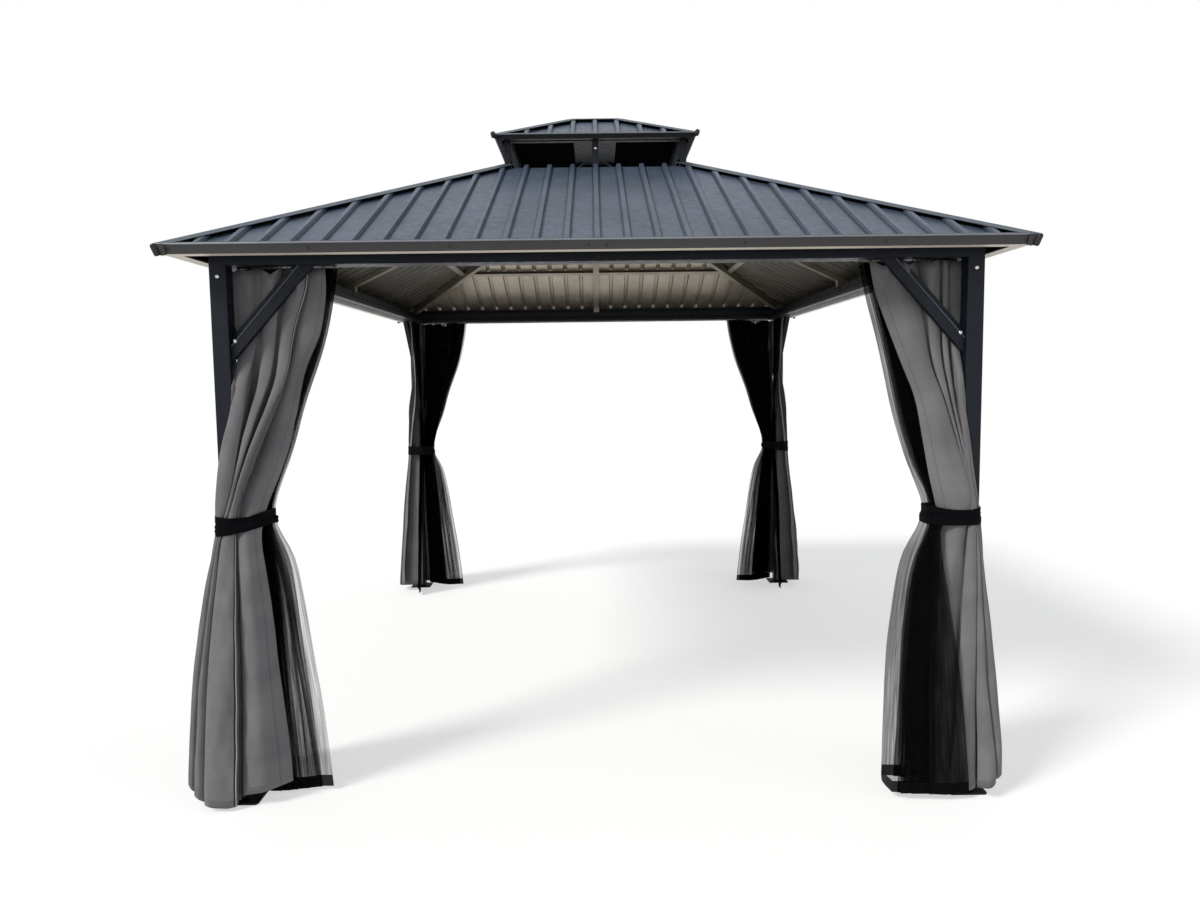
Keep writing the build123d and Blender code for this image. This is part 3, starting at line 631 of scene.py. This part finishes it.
LEFT_POST = {
    "hooks": 8, "sag": 8, "bulge": 6, "crease": 3.0, "soft": 3, "passes": 4, "crown": 0.16,
    "rise": (-181, 85, -150, 40, -109, 2, -60, -10, 0, -12, 14, -8, 20, 20, 60, 24, 186, 42),
    # Each pocket: its middle and half width along the beam, its depth down, how far out, how far the header droops.
    "pockets": ((30, 16, 60, 4, 14), (82, 34, 150, 9, 6), (176, 42, 88, 24, 26), (268, 36, 110, 16, 20)),
    "panels": LEFT_PANELS,
    "front": {1960: (-36, -22, -22, -40), 1675: (-42, -18, -17, -44), 1620: (-18, -18, -17, -45),
              1590: (8, -14, -12, -45), 1560: (24, -12, -8, -45), 1500: (38, 8, 8, -45), 1430: (42, 30, 26, -43),
              1307: (50, 46, 48, -33), 1193: (54, 50, 54, -12), 1080: (57, 55, 59, 30), 985: (55, 57, 60, 56),
              850: (62, 70, 78, 62), 660: (72, 84, 98, 72), 440: (86, 96, 112, 82), 110: (96, 108, 124, 90),
              26: (96, 110, 126, 90)},
    "back": {1430: (-49,), 1307: (-30,), 1080: (-18,), 985: (-18,), 440: (-4,), 26: (10,)},
    "lean": {1960: (0, 0, 4, 0), 1080: (2, 2, 4, 24), 985: (2, 2, 4, 26), 440: (6, 8, 2, 50), 26: (8, 8, 2, 60)},
    "tuck": {1960: (42,), 1460: (46,), 1193: (36,), 1080: (30,), 985: (30,), 660: (46,), 26: (60,)},
}
RIGHT_PANELS = {
    1960: (20, 70, 78, 98, 107, 186, 206, 362),
    1840: (20, 66, 75, 97, 106, 164, 189, 340),
    1769: (20, 64, 80, 96, 101, 150, 166, 314),
    1714: (22, 63, 77, 95, 100, 145, 156, 287),
    1675: (36, 62, 75, 94, 99, 141, 149, 270),
    1603: (34.5, 60, 72, 92, 97, 132, 140, 248),
    1450: (34, 58, 60, 72, 75, 92, 93, 192),
    1303: (16, 30, 32, 42, 44, 52, 54, 170),
    1190: (8, 16, 14, 22, 20, 28, 20, 150),
    1085: (-14, -4, -10, 0, -8, 4, -11, 121),
    985: (-25, -18, -20, -10, -12, 20, 10, 105),
    700: (-56, -30, -32, -10, -12, 40, 20, 140),
    480: (-81, -38, -40, -10, -12, 50, 30, 150),
    130: (-106, -80, -82, -20, -22, 70, 50, 170),
    26: (-110, -84, -86, -20, -22, 72, 50, 175)}
RIGHT_POST = {
    "hooks": 8, "sag": 6, "bulge": 6, "crease": 3.2, "soft": 3, "passes": 4, "crown": 0.16,
    "rise": (-110, 60, -60, 22, 0, 8, 175, 2),
    "pockets": ((88, 12, 120, 7, 6), (146, 36, 200, 9, 8), (225, 30, 90, 18, 18), (318, 40, 130, 18, 22)),
    "panels": RIGHT_PANELS,
    "front": {1960: (-36, -26, -24, -20), 1675: (-42, -22, -22, -18), 1620: (-18, -18, -22, -17),
              1590: (8, -14, -18, -10), 1560: (24, -10, -14, -4), 1500: (38, 0, -4, 12), 1430: (38, 20, 10, 28),
              1307: (40, 30, 26, 42), 1193: (40, 38, 36, 52), 1080: (44, 44, 44, 60), 985: (50, 54, 60, 46),
              850: (60, 66, 72, 50), 660: (74, 82, 84, 56), 440: (88, 96, 92, 60), 110: (98, 110, 100, 66),
              26: (98, 112, 102, 66)},
    "back": {1960: (-49,), 1430: (-46,), 1307: (-24,), 1080: (-10,), 985: (-18,), 440: (-4,), 26: (10,)},
    "lean": {1960: (0, 0, 4, 0), 1450: (0, 0, 0, 14), 1080: (2, 2, 4, 40), 985: (2, 2, 6, 26), 440: (6, 8, 6, 40),
             26: (8, 8, 4, 50)},
    "tuck": {1460: (40,), 1193: (34,), 1080: (30,), 985: (30,), 660: (46,), 26: (60,)},
}
SIDE_PANELS = {
    1960: (60, 118, 150, 222, 240, 292, 300, 356),
    1700: (56, 108, 130, 178, 190, 235, 225, 300),
    1460: (48, 88, 98, 128, 136, 160, 140, 226),
    1200: (44, 60, 66, 78, 84, 98, 82, 142),
    1080: (42, 54, 58, 70, 74, 88, 74, 114),
    985: (42, 56, 60, 72, 76, 90, 80, 114),
    660: (42, 70, 74, 98, 102, 126, 112, 148),
    110: (44, 84, 88, 122, 128, 158, 146, 186),
    26: (44, 86, 90, 124, 130, 160, 148, 188)}
SIDE = {
    "hooks": 9, "sag": 20, "bulge": 8, "crease": 2.6, "soft": 3, "passes": 9, "crown": 0.1,
    "rise": (40, 8, 90, 0, 190, 34),
    "panels": SIDE_PANELS,
    "front": {1960: (-30, -28, -26, -40), 1600: (-24, -20, -20, -38), 1500: (0, 4, 0, -30), 1400: (28, 30, 24, -16),
              1250: (46, 48, 44, 14), 1080: (56, 57, 55, 44), 985: (56, 58, 56, 48), 660: (86, 92, 88, 76),
              440: (104, 112, 106, 92), 110: (128, 138, 130, 112), 26: (130, 140, 132, 114)},
    "back": {1960: (-50,), 1430: (-46,), 1307: (-30,), 1080: (-28,), 985: (-28,), 440: (-26,), 26: (-24,)},
    "lean": {1960: (0, 0, 0, 4), 1080: (2, 2, 2, 14), 440: (6, 6, 6, 20), 26: (8, 8, 8, 24)},
    "tuck": {1460: (44,), 1193: (36,), 1080: (30,), 985: (30,), 660: (46,), 26: (60,)},
}
print("grey recipes 3")

# %% [markdown]
# The nets hang on the inner slots of the tracks, behind the grey cloth. Their free edges reach
# further along the beam and fan out below the strap, dense beside the cloth and sheer at the edge.
# At the right front post the last layers of the net have come round the front of the grey cloth.

# %% Recipes for the nets
SPREAD_LEFT = {
    1953: (60, 380, 394), 1900: (60, 374, 390), 1709: (58, 334, 350), 1616: (56, 300, 318), 1460: (54, 238, 254),
    1300: (52, 196, 212), 1193: (51, 150, 166), 1085: (50, 112, 124), 1000: (50, 106, 122), 985: (50, 108, 136),
    938: (50, 124, 190), 850: (50, 140, 208), 774: (50, 148, 223), 627: (50, 160, 244), 530: (50, 166, 255),
    362: (51, 178, 283), 110: (52, 200, 310), 26: (52, 204, 318)}
SPREAD_RIGHT = {
    1953: (60, 340, 388), 1800: (60, 310, 352), 1653: (58, 274, 312), 1386: (52, 216, 252), 1148: (50, 150, 180),
    1085: (50, 118, 140), 1000: (50, 112, 130), 985: (50, 116, 140), 938: (50, 138, 172), 874: (50, 166, 205),
    675: (50, 200, 240), 465: (50, 222, 262), 110: (52, 240, 282), 26: (52, 242, 285)}
SPREAD_SIDE = {
    1953: (80, 376, 394), 1709: (80, 334, 352), 1453: (80, 238, 254), 1297: (80, 198, 214), 1085: (80, 116, 128),
    985: (80, 118, 140), 850: (80, 158, 206), 627: (80, 184, 244), 382: (80, 206, 280), 26: (80, 226, 318)}
DEPTH = {1960: (-57, -73), 1430: (-56, -73), 1307: (-50, -73), 1085: (-43, -73), 938: (-38, -72),
         660: (-18, -60), 26: (8, -40)}
NET_LEFT = {"hooks": 8, "sag": 6, "bulge": 0, "crease": 1.2, "soft": 1, "layers": 29, "layer": 56, "share": 0.72,
            "spread": SPREAD_LEFT, "rise": (50, 0, 150, -10, 210, -14, 320, -8)}
NET_SIDE = {**NET_LEFT, "hooks": 9, "layers": 35, "layer": 55, "spread": SPREAD_SIDE}
# A row of the wrap gives, along the beam, where the net leaves the back, its side, its front corner, the end of its
# dense part and its last edge, and then how far out it starts and ends.
WRAP = {
    1953: (384, 384, 384, 262, 252, -75, -84), 1800: (350, 350, 350, 228, 218, -75, -84),
    1653: (308, 308, 308, 196, 186, -75, -84), 1386: (250, 250, 250, 150, 140, -75, -84),
    1160: (178, 178, 178, 112, 104, -75, -82), 1085: (133, 134, 132, 118, 116, -72, 5),
    1030: (131, 132, 130, 122, 120, -72, 44), 985: (142, 166, 168, 120, 114, -70, 52),
    890: (206, 229, 230, 122, 113, -76, 62), 770: (232, 252, 256, 127, 90, -72, 76),
    545: (266, 284, 282, 142, 56, -64, 94), 336: (276, 291, 286, 144, 32, -58, 106),
    80: (284, 298, 291, 140, 8, -50, 116), 26: (285, 299, 292, 140, 8, -48, 116)}
NET_RIGHT = {**NET_LEFT, "layers": 11, "share": 0.8, "spread": SPREAD_RIGHT, "rise": (0, 4, 60, 0, 290, 2),
             "wrap_share": 0.6, "wrap": WRAP}
print("net recipes 3")

# %% [markdown]
# The sheets themselves. A front half is cut 1.35 m wide, half of the short bay with a little to
# spare, and a side half 1.65 m; the nets are cut 1.6 and 1.9 m wide, and all are 1.93 m long. The
# grey cloth gets a wall of under a millimetre, and the net stays a single skin, because it has no
# edge that shows.

# %% Make the curtains and nets
sheets = {tag: [] for tag in CORNERS}


def walled(piece, thick):
    """Gives a skin of cloth its thickness."""
    wall = piece.modifiers.new("cloth wall", "SOLIDIFY")
    wall.thickness, wall.offset = thick, 0


for number, tag in enumerate(CORNERS):
    for along_y, word in ((False, "end"), (True, "side")):
        flat = SIDE_FLAT if along_y else FRONT_FLAT
        left = tag in ("fl", "br")
        recipe = SIDE if along_y else (LEFT_POST if left else RIGHT_POST)
        grey = hung_sheet(f"curtain_{word}_{tag}", tag, along_y, recipe, flat, 11 + number * 4 + along_y, 276)
        grey.data.materials.append(side_cloth if along_y else (zip_cloth if left else end_cloth))
        walled(grey, 0.8 * MM)
        recipe = NET_SIDE if along_y else (NET_RIGHT if tag == "fr" else NET_LEFT)
        net_flat = SIDE_NET if along_y else FRONT_NET
        net = hung_sheet(f"net_{word}_{tag}", tag, along_y, recipe, net_flat, 41 + number * 4 + along_y, 340, 50)
        net.data.materials.append(side_net if along_y else end_net)
        for piece, slot, cut in ((grey, "curtain_fabric", flat), (net, "net_fabric", net_flat)):
            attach(piece, "root")
            sheets[tag].append(piece)
        if along_y:
            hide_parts(f"curtain_{tag}")
            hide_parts(f"net_{tag}")
print("sheets", sum(len(s) for s in sheets.values()),
      "faces", sum(len(p.data.polygons) for s in sheets.values() for p in s))

# %% [markdown]
# Straps. A strap is a strip of black polyester, 65 mm wide, that goes round post and cloth once and
# closes on itself with hook and loop at the inner side. It bridges hollows, so each of its rows is
# the tightest loop round the cloth at that height, and it gathers into a few lines along itself.

# %% Tie the straps
STRAP_LOW, STRAP_HIGH = 0.998, 1.063
STRAP_LAP = 0.1
STEPS = 180
OUTER_SIDE, GATHER_DEEP = 45 * MM, 175 * MM
# Heights of the upper and the lower edge at four places from the outer to the inner side of the gather.
STRAP_EDGES = {"left": ((1.067, 1.061, 1.062, 1.078), (0.992, 1.0, 1.012, 1.024)),
               "right": ((1.062, 1.056, 1.058, 1.064), (1.0, 1.0, 1.0, 1.002))}


def loop_round(points):
    """The tightest loop round 2D points, in even steps from the one nearest to the origin, with rounded corners."""
    hull = points[convex_hull_2d([tuple(p) for p in points])]
    closed = np.concatenate([hull, hull[:1]])
    along = np.concatenate(([0], np.cumsum(np.linalg.norm(np.diff(closed, axis=0), axis=1))))
    at = np.linspace(0, along[-1], 4 * STEPS + 1)[:-1]
    dense = np.stack([np.interp(at, along, closed[:, k]) for k in (0, 1)], axis=1)
    loop = np.roll(dense, -np.argmin(np.linalg.norm(dense, axis=1)), axis=0)[::4]
    for _ in range(12):
        loop = (np.roll(loop, 1, axis=0) + 2 * loop + np.roll(loop, -1, axis=0)) / 4
    return np.concatenate([loop, loop[:1]])


def strap(tag, seed, cols=180, rows=17):
    """Builds the strap at one corner from the outline of that corner's sheets."""
    random = np.random.default_rng(seed)
    sx, sy = CORNERS[tag]
    lie = "left" if tag in ("fl", "br") else "right"
    cloud = np.concatenate([np.array([v.co for v in piece.data.vertices]) for piece in sheets[tag]]) * (sx, sy, 1)
    grid = np.zeros((rows, cols, 3))
    lapped = np.linspace(0, 1 + STRAP_LAP, cols)
    at = (lapped * STEPS) % STEPS
    pleats = [[random.uniform(*span) for span in ((2.5, 6.5), (0.5, 2.5), (0, 6.3))] for _ in range(3)]
    for r, part in enumerate(np.linspace(0, 1, rows)):
        z = STRAP_HIGH + (STRAP_LOW - STRAP_HIGH) * part
        loop = loop_round(cloud[np.abs(cloud[:, 2] - z) < 20 * MM][:, :2])
        ring = np.stack([np.interp(at, np.arange(len(loop)), loop[:, k]) for k in (0, 1)], axis=1)
        along = np.gradient(ring, axis=0)
        out = np.stack([along[:, 1], -along[:, 0]], axis=1) / np.linalg.norm(along, axis=1)[:, None]
        out *= np.sign(np.sum(out * (ring - loop.mean(axis=0)), axis=1))[:, None]
        relief = sum(np.sin(WHOLE_TURN * (count * part + turn * lapped) + phase) for count, turn, phase in pleats) / 3
        lift = 2.6 * MM + 2.2 * MM * lapped / (1 + STRAP_LAP) + 2.2 * MM * relief * np.sin(np.pi * part)
        ring = ring + out * lift[:, None]
        inwards = np.clip((POST_X - ring[:, 0] + OUTER_SIDE) / GATHER_DEEP, 0, 1)
        top, bottom = (np.interp(inwards, (0, 0.33, 0.67, 1), edge) for edge in STRAP_EDGES[lie])
        sag = 1.2 * MM * np.sin(WHOLE_TURN * 3 * lapped)
        grid[r] = np.stack([sx * ring[:, 0], sy * ring[:, 1], top + (bottom - top) * part + sag], axis=1)
    long = float(np.linalg.norm(np.diff(grid[rows // 2], axis=0), axis=1).sum())
    made = grid_mesh(f"strap_{tag}", grid, (long, STRAP_HIGH - STRAP_LOW))
    made.data.materials.append(strap_cloth)
    walled(made, 1.4 * MM)
    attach(made, "root")
    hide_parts("curtain_ties")
    return long


print("strap lengths", [round(strap(tag, 71 + k), 2) for k, tag in enumerate(CORNERS)])

# %% [markdown]
# Small rigid things, which on the real gazebo are bought parts and cut ends: screws of the eave
# trim, button-head bolts, nylon runners, moulded caps on sharp corners, rolled and folded edges,
# and black foam strips below the hip caps, which are painted shade for the ribs' open ends. Each is
# modelled once from a primitive in edit mode, and what repeats is copied to its places.

# %% Helpers for modelled pieces
def start(kind, **sizes):
    """Adds a primitive at its size and place, with its transform applied, and enters edit mode."""
    bpy.ops.object.select_all(action="DESELECT")
    getattr(bpy.ops.mesh, f"primitive_{kind}_add")(**sizes)
    bpy.ops.object.transform_apply(location=True, rotation=True, scale=True)
    bpy.ops.object.mode_set(mode="EDIT")
    bpy.ops.mesh.select_mode(type="FACE")
    return bpy.context.object


def ended(piece):
    """Leaves edit mode and returns the piece."""
    bpy.ops.object.mode_set(mode="OBJECT")
    return piece


def pick(piece, test):
    """In edit mode, selects the faces whose centre and normal pass the test, and no others."""
    bpy.ops.mesh.select_all(action="DESELECT")
    mesh = bmesh.from_edit_mesh(piece.data)
    for face in mesh.faces:
        if test(face.calc_center_median(), face.normal):
            face.select_set(True)
    bmesh.update_edit_mesh(piece.data)


def pull(x, y, z):
    """Extrudes the selected faces by a vector."""
    bpy.ops.mesh.extrude_region_move(TRANSFORM_OT_translate={"value": (x, y, z)})


def select(pieces):
    """Selects these objects alone and makes the first one active."""
    bpy.ops.object.select_all(action="DESELECT")
    for piece in pieces:
        piece.select_set(True)
    bpy.context.view_layer.objects.active = pieces[0]


def joined(pieces):
    """Joins several objects into the first."""
    select(pieces)
    bpy.ops.object.join()
    return pieces[0]


def copies(model, spots):
    """Copies a model's mesh to each spot, turned and mirrored as the spot's matrix says, and joins the copies."""
    made = []
    for spot in spots:
        data = model.data.copy()
        data.transform(spot)
        if spot.determinant() < 0:
            data.flip_normals()
        made.append(bpy.data.objects.new(model.name, data))
        scene.collection.objects.link(made[-1])
    bpy.data.objects.remove(model)
    return joined(made)


def finished(piece, name, coat):
    """Names a piece, smooths its soft edges, and gives it its finish and its place in the frame."""
    piece.name = name
    piece.data.materials.clear()
    piece.data.materials.append(coat)
    select([piece])
    bpy.ops.object.shade_smooth_by_angle(angle=math.radians(35))
    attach(piece, "root")


def facing_out(place, normal):
    """The matrix that stands a model on a surface: its Z axis along the normal, its origin at the place."""
    return Matrix.Translation(place) @ Vector(normal).to_track_quat("Z", "Y").to_matrix().to_4x4()


def at_corner(tag, along_y):
    """The matrix from a corner's own (u, v, z) to the frame."""
    sx, sy = CORNERS[tag]
    across = ((0, sx), (-sy, 0)) if along_y else ((-sx, 0), (0, sy))
    return Matrix(((*across[0], 0, sx * POST_X), (*across[1], 0, sy * POST_Y), (0, 0, 1, 0), (0, 0, 0, 1)))


def button_head(radius, height):
    """A button-head screw: a disc stepped up to a dome, with a drive recess."""
    piece = start("cylinder", vertices=14, radius=radius, depth=0.4 * height, location=(0, 0, 0.2 * height))
    pick(piece, lambda centre, normal: normal.z > 0.9)
    for rise, size in ((0.35, 0.84), (0.25, 0.66)):
        pull(0, 0, rise * height)
        bpy.ops.transform.resize(value=(size, size, 1), center_override=(0, 0, 0))
    bpy.ops.mesh.inset(thickness=0.14 * radius)
    pull(0, 0, -0.35 * height)
    return ended(piece)


print("modelling helpers 11")

# %% [markdown]
# Eave trim. Dark screws sit along the middle of each face and on the joint plates; their places on
# the front come from the photograph, and the other sides repeat them. The upper edge of the trim is
# a rolled bead painted pale, a painted highlight for the sky that it catches as a bright line, and
# black plugs cap the sharp corners.

# %% Screws, rolled edges and corner plugs of the eaves
SLOPE = math.radians(25.3)
SIN, COS, TAN = math.sin(SLOPE), math.cos(SLOPE), math.tan(SLOPE)
EAVE_X, EAVE_Y, TRIM_TOP = 1.4946, 1.7946, 2.014
UP_EAVE_X, UP_EAVE_Y, UP_TRIM_TOP = 0.4600, 0.7600, 2.6468
SCREW_DOWN = 21 * MM
JOINT_OUT = 2.2 * MM
BEAD_UP = 0.4 * MM
PLUG_IN, PLUG_DOWN, PLUG_LEAN = 2 * MM, 0.021, 0.3
SIDES = ("front", "right", "back", "left")
# How far each screw of a side lies from its middle.
SHORT_ROW, LONG_ROW, JOINT_ROW = (0.5, 0.977, 1.454), (0.316, 0.8, 1.278, 1.752), (-0.03, 0.03)


def on_trim(side, along, out):
    """The matrix of a screw on the trim of a side, at a distance along it."""
    turn = Matrix.Rotation(math.radians(90 * SIDES.index(side)), 4, "Z")
    eave = EAVE_Y if side in ("front", "back") else EAVE_X
    place = (along, -(eave + out * COS - SCREW_DOWN * SIN), TRIM_TOP - out * SIN - SCREW_DOWN * COS)
    return turn @ facing_out(place, (0, -COS, -SIN))


spots = []
for side in SIDES:
    row = SHORT_ROW if side in ("front", "back") else LONG_ROW
    spots += [on_trim(side, sign * along, 0) for along in row for sign in (-1, 1)]
    spots += [on_trim(side, along, JOINT_OUT) for along in JOINT_ROW]
finished(copies(button_head(5 * MM, 3 * MM), spots), "trim_screws", dark_screw)
print("trim screws", len(spots))


def rolled_edge(half_x, half_y, top, thick):
    """A rectangular ring with a rounded section, thick wide and high."""
    piece = start("cube", size=1, location=(0, 0, top - thick / 2), scale=(2 * half_x, 2 * half_y, thick))
    pick(piece, lambda centre, normal: abs(normal.z) > 0.9)
    bpy.ops.mesh.inset(thickness=thick)
    bpy.ops.mesh.bridge_edge_loops()
    bpy.ops.mesh.select_all(action="SELECT")
    bpy.ops.mesh.bevel(offset=0.3 * thick, segments=3)
    return ended(piece)


def corner_plug(radius, tall):
    """A moulded plug: a bar with both ends rounded over and a shallow dish at the top."""
    piece = start("cylinder", vertices=18, radius=radius, depth=tall)
    pick(piece, lambda centre, normal: abs(normal.z) > 0.9)
    bpy.ops.mesh.bevel(offset=0.8 * radius, segments=4)
    pick(piece, lambda centre, normal: normal.z > 0.99 and centre.z > 0.45 * tall)
    bpy.ops.mesh.inset(thickness=0.05 * radius)
    pull(0, 0, -0.1 * radius)
    return ended(piece)


def plugs(radius, tall, x, y, z):
    """A plug at each corner of an eave, leaning outwards."""
    spots = [facing_out((sx * x, sy * y, z), (sx * PLUG_LEAN, sy * PLUG_LEAN, 1)) for sx, sy in CORNERS.values()]
    return copies(corner_plug(radius, tall), spots)


finished(rolled_edge(EAVE_X + 2.6 * MM, EAVE_Y + 2.6 * MM, TRIM_TOP + BEAD_UP, 5 * MM), "eave_bead", highlight_edge_coat)
finished(rolled_edge(UP_EAVE_X + 2 * MM, UP_EAVE_Y + 2 * MM, UP_TRIM_TOP + BEAD_UP, 4 * MM), "upper_eave_bead",
         highlight_edge_coat)
finished(plugs(10.5 * MM, 44 * MM, EAVE_X - PLUG_IN, EAVE_Y - PLUG_IN, TRIM_TOP - PLUG_DOWN), "corner_plugs",
         corner_coat)
finished(plugs(11 * MM, 30 * MM, UP_EAVE_X, UP_EAVE_Y, UP_TRIM_TOP - 4 * MM), "upper_corner_plugs", corner_coat)
print("beads 2, plugs 8")

# %% [markdown]
# Below each hip cap the ribs leave gaps between sheet and cap. A strip of black foam on each side
# of the hip fills them, so no light shows through; the black strips are painted shade for the
# ribs' shaded open ends.

# %% Foam strips under the hip caps
HIP_SHIFT = EAVE_Y - EAVE_X
FOAM_UP, FOAM_TALL = 0.0016, 17 * MM
SHEET_DOWN = 0.01869  # from the trim's top to the sheet's at the eave
UP_EAVE_SHEET = (0.416, 2.64928)  # the upper sheet's top, at this distance from the middle
# Where the strips of a hip start and end, as distances on the short side.
FOOT, HEAD, UP_FOOT, UP_HEAD = 1.486, 0.425, 0.454, 0.135


def hip_foam(foot, head, low, inner, outer):
    """Two strips up one hip: foot and head are distances on the short side, low is the sheet's top at the foot."""
    run = foot - head
    middle = (foot - (inner + outer) / 2, foot + HIP_SHIFT, low + FOAM_TALL / 2)
    strips = []
    for swap in (False, True):
        piece = start("cube", size=1, location=middle, scale=(outer - inner, 4 * MM, FOAM_TALL))
        pick(piece, lambda centre, normal: normal.y < -0.9)
        pull(-run, -run, run * TAN)
        bpy.ops.mesh.inset(thickness=1.5 * MM)
        strips.append(ended(piece))
        if swap:
            piece.data.transform(Matrix(((0, 1, 0, -HIP_SHIFT), (1, 0, 0, HIP_SHIFT), (0, 0, 1, 0), (0, 0, 0, 1))))
            piece.data.flip_normals()
    return joined(strips)


quarters = [Matrix.Diagonal((sx, sy, 1, 1)) for sx, sy in CORNERS.values()]
lower = hip_foam(FOOT, HEAD, TRIM_TOP - SHEET_DOWN + FOAM_UP + TAN * (EAVE_X - FOOT), 20 * MM, 30 * MM)
finished(copies(lower, quarters), "hip_foam", foam)
upper = hip_foam(UP_FOOT, UP_HEAD, UP_EAVE_SHEET[1] + FOAM_UP + TAN * (UP_EAVE_SHEET[0] - UP_FOOT), 16 * MM, 24 * MM)
finished(copies(upper, quarters), "upper_hip_foam", foam)
print("foam strips 16")

# %% [markdown]
# Corner braces. The brace is a folded channel: its front upper edge is a rounded fold, painted
# lighter than the brace as a painted highlight, and its rear wall stands higher than the front one,
# which shows as a dark band above the line. One bright button-head bolt holds its foot, and one
# holds each beam to the post.

# %% Brace edges and bolts
BRACE_TURN = math.atan2(337, 300)
PLATE_OUT, FOLD_OUT = -13.2 * MM, 12 * MM
POST_FACE, BEAM_UNDER = 30.3 * MM, 1954.5 * MM
BRACE_U, BRACE_Z = 180 * MM, 1786.5 * MM  # the middle of the brace's lower edge
# At each corner one bolt sits on the post's face and one on the brace's foot, in millimetres of the corner's own
# (u, v, z). A bolt of the vent is given by its side's turn and its distance from the middle, in metres.
BOLTS = ((0, 30, 1917), (44, 12, 1690))
VENT_BOLTS, VENT_BOLT_Z = ((0, 0.716), (90, 0.416), (180, 0.716), (270, 0.416)), 2.59


def cut_to_brace(piece):
    """Trims a bar at the post's face and at the beam's underside."""
    bpy.ops.mesh.select_all(action="SELECT")
    bpy.ops.mesh.bisect(plane_co=(POST_FACE, 0, 0), plane_no=(1, 0, 0), use_fill=True, clear_inner=True)
    bpy.ops.mesh.select_all(action="SELECT")
    bpy.ops.mesh.bisect(plane_co=(0, 0, BEAM_UNDER), plane_no=(0, 0, 1), use_fill=True, clear_outer=True)
    return ended(piece)


def over_brace(up, out):
    """A place over the middle of the brace's lower edge, up square to its run."""
    return (BRACE_U - up * math.sin(BRACE_TURN), out, BRACE_Z + up * math.cos(BRACE_TURN))


corners = [at_corner(tag, along_y) for tag in CORNERS for along_y in (False, True)]
wall = start("cube", size=1, location=over_brace(31 * MM, PLATE_OUT), rotation=(0, -BRACE_TURN, 0),
             scale=(0.6, 2 * MM, 62 * MM))
finished(copies(cut_to_brace(wall), corners), "brace_rear_walls", powder_coat)
fold = start("cylinder", vertices=12, radius=1.8 * MM, depth=0.6, location=over_brace(37 * MM, FOLD_OUT),
             rotation=(0, math.pi / 2 - BRACE_TURN, 0))
finished(copies(cut_to_brace(fold), corners), "brace_folds", highlight_fold_coat)
spots = [corner @ facing_out((u * MM, v * MM, z * MM), (0, 1, 0)) for corner in corners for u, v, z in BOLTS]
spots += [Matrix.Rotation(math.radians(turn), 4, "Z") @ facing_out((0, -out, VENT_BOLT_Z), (0, -1, 0))
          for turn, out in VENT_BOLTS]
finished(copies(button_head(7.5 * MM, 5 * MM), spots), "frame_bolts", zinc)
print("braces", len(corners), "bolts", len(spots))

# %% [markdown]
# Runners. The header of each sheet hangs from grey nylon runners with an eye below the track. The
# grey cloth runs in the outer slot and the net in the inner one.

# %% Runners on the tracks
SLOTS = ((-42.4, 352), (-65.6, 388))  # how far out a slot lies, and how far along the beam its last runner
FIRST_RUNNER, RUNNERS = 92, 8
TRACK_UNDER = 1957.5


def runner():
    """A runner: a short stem with rounded ends and a pear-shaped eye below it."""
    stem = start("cylinder", vertices=8, radius=1.8 * MM, depth=6 * MM, location=(0, 0, -2 * MM))
    pick(stem, lambda centre, normal: abs(normal.z) > 0.9)
    bpy.ops.mesh.bevel(offset=0.6 * MM, segments=1)
    ended(stem)
    eye = start("torus", major_segments=12, minor_segments=5, major_radius=4.5 * MM, minor_radius=1.1 * MM,
                location=(0, 0, -9 * MM), rotation=(math.pi / 2, 0, 0))
    pick(eye, lambda centre, normal: centre.z > -8 * MM)
    bpy.ops.transform.resize(value=(0.6, 1, 1), center_override=(0, 0, -8 * MM))
    return joined([stem, ended(eye)])


random = np.random.default_rng(5)
spots = []
for corner in corners:
    for slot_v, last in SLOTS:
        for u in np.linspace(FIRST_RUNNER, last, RUNNERS) + random.uniform(-5, 5, RUNNERS):
            turn = Matrix.Rotation(random.uniform(-0.9, 0.9), 4, "Z")
            spots.append(corner @ Matrix.Translation((u * MM, slot_v * MM, TRACK_UNDER * MM)) @ turn)
finished(copies(runner(), spots), "runners", nylon)
print("runners", len(spots))
